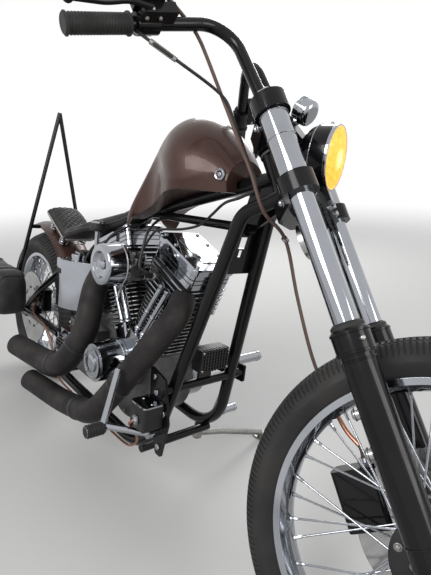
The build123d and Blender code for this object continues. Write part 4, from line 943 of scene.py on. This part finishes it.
on_bike("regulator_ribs", "black_satin",
        [box((1109, 1121.6), (-43.6, 43.6), (z - 0.9, z + 0.9)) for z in range(438, 490, 8)])
on_bike("regulator_bolts", "steel",
        [dome((1122, y, z), AHEAD, 3.6, 3) for y in (-40, 40) for z in (439, 485)])
mushroom = [(9, 713), (20.5, 715), (22.5, 719), (22.5, 726), (20.5, 738), (14, 745), (4, 747.5)]
on_bike("vent_mushroom", "rubber", [moved(at(655, -100, 0), lathe(mushroom, 36))])
on_bike("rear_master_fittings", "chrome",
        [moved(at(1090, -168, 374), slab(30, 28, 8, -0.5, 4)), bolt((1090, -196, 340), RIGHT, 9, 8),
         dome((1072, -168, 378), ABOVE, 3.4, 2), dome((1108, -168, 378), ABOVE, 3.4, 2),
         post((1090, -196, 340), RIGHT, [(12, 1), (12, 4)], 20)])
on_bike("rear_brake_line", "copper", [tube(curve_through([
    (1090, -203, 340), (1078, -206, 326), (1052, -176, 292), (1026, -146, 236), (980, -140, 196),
    (900, -138, 186), (760, -138, 186), (620, -138, 186), (520, -138, 190), (462, -136, 214),
    (430, -132, 262), (398, -130, 304), (330, -129, 330), (250, -128, 336),
    (196, -120, 352), (170, -98, 384), (160, -80, 400)]), 3.2, 10)])
on_bike("pedal_rubber", "rubber",
        [post((1034, -293, 306), LEFT, [(10, 0), (14.4, 2), (14.4, 45), (12, 47)], 28)]
        + [hoop((1034, y, 306), LEFT, 14.4, 0, 4, 1.4) for y in range(-289, -250, 7)])
on_bike("peg_rings", "chrome",
        [hoop((x, y, z), LEFT, radius, 0, high, 1.4)
         for x, z, radius, high, ys in ((1012, 388, 15, 6, (184, 268)), (985, 214, 12, 5, (182, 226)))
         for y in ys])
tail_lamp = bike @ at(-60, 164, 392) @ turn(-90, "Y")
on_bike("tail_lamp_rim", "chrome",
        [ring([(29.5, -50), (31.4, -50), (31.4, -18), (33, -14), (33, -9), (30, -7), (29.5, -9)], 56)],
        tail_lamp)
on_bike("tail_lamp_rings", "red_lens", [band(radius, -0.6, 1.2, 1) for radius in (6, 12, 18)], tail_lamp)
on_bike("tail_lamp_back", "black_paint",
        [box((-8.9, 77.1), (141.2, 154.8), (381.2, 402.8)),
         post((-9.6, 164, 392), AHEAD, [(31.4, 0), (31.4, 2.4), (28, 4)], 40)])
on_bike("caliper_fittings", "steel",
        [dome((x, -91, z), RIGHT, 6, 5) for x in (140, 196) for z in (352, 408)]
        + [washer((168, -91, z), RIGHT, 15, 3) for z in (362, 398)])


def on_wheel(radius, degrees, y=0):
    """A point at a radius and an angle above straight ahead, about the rear axle."""
    return spots_round(AXLE_X, y, AXLE_Z, radius, [degrees])[0]


on_bike("mudguard_beads", "bronze_paint",
        [tube([on_wheel(339, 18 + 78 * step / 40, y) for step in range(41)], 2.6, 8) for y in (-61, 61)])

# Passenger pad: a quilted cushion on pale layered sides, over four chromed springs

PAD_MIDDLE = 63.5
PAD_SWEEP = 12.6
PAD_LENGTH = 94
PAD_WIDTH = 60
QUILT = 22


def pad_point(radius, along, across):
    """A point of the pad, along it from -1 to 1 and across it in millimetres."""
    return on_wheel(radius, PAD_MIDDLE - PAD_SWEEP * along, across)


def quilt(along, across):
    """How deep the stitched diamonds pull the cover in, from two places in millimetres."""
    depth = 0
    for line in ((along + across) / QUILT, (along - across) / QUILT):
        gap = abs(line - round(line)) * QUILT
        depth = max(depth, math.exp(-(gap / 3.2) ** 2))
    return depth


pad_rows = []
pad_base = []
for i in range(101):
    along = -1 + i / 50
    row = []
    for j in range(65):
        across = -1 + j / 32
        crown = (1 - abs(along) ** 7) ** 0.5 * (1 - abs(across) ** 5) ** 0.5
        puff = 4.2 * quilt(along * PAD_LENGTH, across * PAD_WIDTH) * min(1, 2.2 * crown)
        reach = 421 + 24 * crown + 5 * crown * (1 - across ** 2) - puff
        row.append(pad_point(reach, along, PAD_WIDTH * across))
    pad_rows.append(row)
    pad_base.append([pad_point(414, along, PAD_WIDTH * (-1 + j / 32)) for j in range(65)])
pad_top = on_bike("passenger_cushion", "leather", [thick_sheet(pad_rows, pad_base)], sharp=60)
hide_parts("passenger_pad")


def pad_edge(radius, out):
    """The line round the pad's edge at a radius, that far outside it."""
    loop = rounded_loop(PAD_LENGTH + out, PAD_WIDTH + out, 16 + out, 8)
    return [pad_point(radius, x / PAD_LENGTH, y) for x, y in loop]


side_rows = []
for layer in range(3):
    for step in range(6):
        share = step / 5
        side_rows.append(pad_edge(412.4 + 3.3 * (layer + share), 0.6 + 2.2 * math.sin(math.pi * share)))
side_rows += [pad_edge(422.3, -6), pad_edge(412.4, -6), side_rows[0]]
on_bike("passenger_pad_sides", "pale_piping", [sheet_of(side_rows, True)], sharp=60)
on_bike("passenger_pad_piping", "grey_vinyl",
        [tube(pad_edge(radius, 1.4), 1.9, 8, closed=True) for radius in (412.8, 422.6)])
coils = []
for angle in (56, 71):
    for side in (-36, 36):
        low = Vector(on_wheel(358, angle, side))
        place = facing(low, Vector(on_wheel(410, angle, side)) - low)
        wind = [(2 * math.pi * step / 14, 3 + 46 * step / 63) for step in range(64)]
        spiral = [place @ Vector((14 * math.cos(a), 14 * math.sin(a), z)) for a, z in wind]
        coils.append(tube(spiral, 2.6, 8))
on_bike("pad_springs", "chrome", coils)

# Seat: a crowned leather saddle with a seam along its middle and piping round its edge

SEAT_STEPS = 9
SEAT_WAIST = 0.42
seat_stations = [
    # place along the bike, half width, lowest and highest point
    (402, 92, 653, 686), (432, 106, 657, 698), (470, 112, 664, 708), (550, 104, 690, 731),
    (640, 70, 712, 761), (700, 50, 735, 780), (738, 40, 757, 799)]
seat_line = []
for first, second in zip(seat_stations, seat_stations[1:]):
    seat_line += [Vector(first).lerp(Vector(second), step / SEAT_STEPS) for step in range(SEAT_STEPS)]
seat_line.append(Vector(seat_stations[-1]))
seat_rows = []
for index, (x, half, low, high) in enumerate(seat_line):
    end = min(index, len(seat_line) - 1 - index)
    close = 1 - 0.5 * math.exp(-end / 1.2)
    middle = low + (high - low) * SEAT_WAIST
    row = []
    for angle in circle(56):
        lift = power(math.sin(angle), 0.62)
        y = half * power(math.cos(angle), 0.5) * close
        if lift > 0:
            z = middle + (high - middle) * lift * close - 2.4 * math.exp(-(y / 3.5) ** 2)
            z -= 2.2 * math.exp(-((abs(y) - 0.62 * half) / 3.5) ** 2)
        else:
            z = middle + (middle - low) * lift * close
        row.append((x, y, z))
    seat_rows.append(row)
seat_top = on_bike("saddle", "leather", [turned_over(sheet_of(seat_rows, True, caps=True))], sharp=70)
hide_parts("seat")
edge = [(x, half + 0.4, low + (high - low) * SEAT_WAIST) for x, half, low, high in seat_line[2:-2]]
loop = edge + [(x, -y, z) for x, y, z in reversed(edge)]
on_bike("saddle_piping", "grey_vinyl", [tube(loop, 2.4, 8, closed=True)])

# Saddlebag: a soft shell that sags between its corners, with a flap, two straps and their buckles

BAG_MIDDLE = Vector((120, -225, 436))
BAG_HALF = 178
BAG_STEPS = 72
STRIP_STEPS = 43


def bag_point(x_share, angle, out=0.0):
    """A point of the bag's skin, at a share along it and an angle round it, that far outside it."""
    close = (1 - min(abs(x_share), 1) ** 9) ** 0.3
    x = BAG_MIDDLE.x + (BAG_HALF + out * 0.4) * x_share
    y = power(math.cos(angle), 0.5)
    z = power(math.sin(angle), 0.5)
    sag = (1 - x_share ** 2) * (4 if z < 0 else 6) + 1.3 * math.sin(x / 17 + 2.2 * z)
    full = 1 - 0.12 * max(z, 0) ** 2
    return (x, BAG_MIDDLE.y + close * (57 * full + out) * y, BAG_MIDDLE.z + close * (81 + out) * z - sag)


bag_turns = [math.radians(-90 + 180 * i / BAG_STEPS) for i in range(BAG_STEPS + 1)]
bag_rows = [[bag_point(power(math.sin(turn_to), 0.75), angle) for angle in circle(BAG_STEPS)]
            for turn_to in bag_turns]
bag = on_bike("bag_shell", "leather", [turned_over(sheet_of(bag_rows, True))], sharp=70)
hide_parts("saddlebag")


def bag_strip(x_low, x_high, start, end, out, thick, across=9):
    """A layer of leather over the bag, between two shares along it and two angles round it, in degrees."""
    grids = []
    for reach in (out + thick, out):
        grids.append([[bag_point(x_low + (x_high - x_low) * j / (across - 1),
                                 math.radians(start + (end - start) * i / STRIP_STEPS), reach)
                       for j in range(across)] for i in range(STRIP_STEPS + 1)])
    return thick_sheet(*grids)


on_bike("bag_flap", "leather", [bag_strip(-0.93, 0.93, 40, 183, 0.6, 3, 60)], sharp=60)
on_bike("bag_straps", "leather",
        [bag_strip(x - 0.06, x + 0.06, 60, 255, 4.2, 2.6) for x in (-0.5, 0.5)], sharp=60)
buckles = []
rivets = []
for share in (-0.5, 0.5):
    x = BAG_MIDDLE.x + BAG_HALF * share
    _, y, z = bag_point(share, math.radians(186), 9)
    bar_line = [(x - 15, y, z - 12), (x + 15, y, z - 12), (x + 15, y, z + 12), (x - 15, y, z + 12)]
    buckles += [tube(bar_line, 2.2, 8, closed=True), tube([(x, y, z + 12), (x, y - 1.5, z - 12)], 1.6, 8)]
    strap_y = bag_point(share, math.radians(192), 6)[1]
    rivets += [dome((x, strap_y, z - drop), RIGHT, 3, 2) for drop in (26, 40, 54)]
on_bike("bag_buckles", "chrome", buckles)
on_bike("bag_rivets", "steel", rivets)
on_bike("bag_bracket", "black_paint", [box((70, 100), (-174, -155.9), (388, 420))])


def make_stage():
    """A pale floor that fades to white, soft lights, and a sky that lights the bike less than it shows."""
    floor_material = bpy.data.materials.new("floor")
    floor_material.use_nodes = True
    tree = floor_material.node_tree
    shader = tree.nodes["Principled BSDF"]
    shader.inputs["Roughness"].default_value = 0.9
    shader.inputs["Specular IOR Level"].default_value = 0.1
    shader.inputs["Emission Strength"].default_value = 1.0
    fade = eased(tree, measured(tree, "LENGTH", object_place(tree)), 1.6, 7.0)
    tree.links.new(mixed(tree, fade, (0.56, 0.56, 0.55, 1), BLACK), shader.inputs["Base Color"])
    tree.links.new(mixed(tree, fade, BLACK, WHITE), shader.inputs["Emission Color"])
    mesh = bpy.data.meshes.new("floor")
    mesh.from_pydata([(-60, -60, 0), (60, -60, 0), (60, 60, 0), (-60, 60, 0)], [], [(0, 1, 2, 3)])
    mesh.materials.append(floor_material)
    floor = bpy.data.objects.new("floor", mesh)
    bpy.context.scene.collection.objects.link(floor)

    world = bpy.data.worlds.new("world")
    bpy.context.scene.world = world
    world.use_nodes = True
    tree = world.node_tree
    tree.nodes.clear()
    rays = tree.nodes.new("ShaderNodeLightPath").outputs
    seen = maths(tree, "MAXIMUM", rays["Is Camera Ray"], rays["Is Transmission Ray"])
    shown = maths(tree, "MAXIMUM", seen, rays["Is Glossy Ray"])
    sky = add_node(tree, "ShaderNodeBackground", Strength=1.0,
                   Color=mixed(tree, shown, (0.5, 0.5, 0.51, 1), WHITE))
    add_node(tree, "ShaderNodeOutputWorld", Surface=sky.outputs["Background"])

    for name, spot, aim, size, watts in (
            ("key", (0.8, -2.6, 2.6), (0, 0, 0.5), 1.6, 75),
            ("fill", (3.0, 0.6, 1.6), (0.3, 0, 0.5), 1.4, 35),
            ("back", (-1.8, 2.4, 2.2), (0, 0, 0.6), 1.6, 60)):
        data = bpy.data.lights.new(name, "AREA")
        data.size = size
        data.energy = watts
        light = bpy.data.objects.new(name, data)
        light.matrix_world = facing(spot, Vector(spot) - Vector(aim))
        bpy.context.scene.collection.objects.link(light)


make_stage()
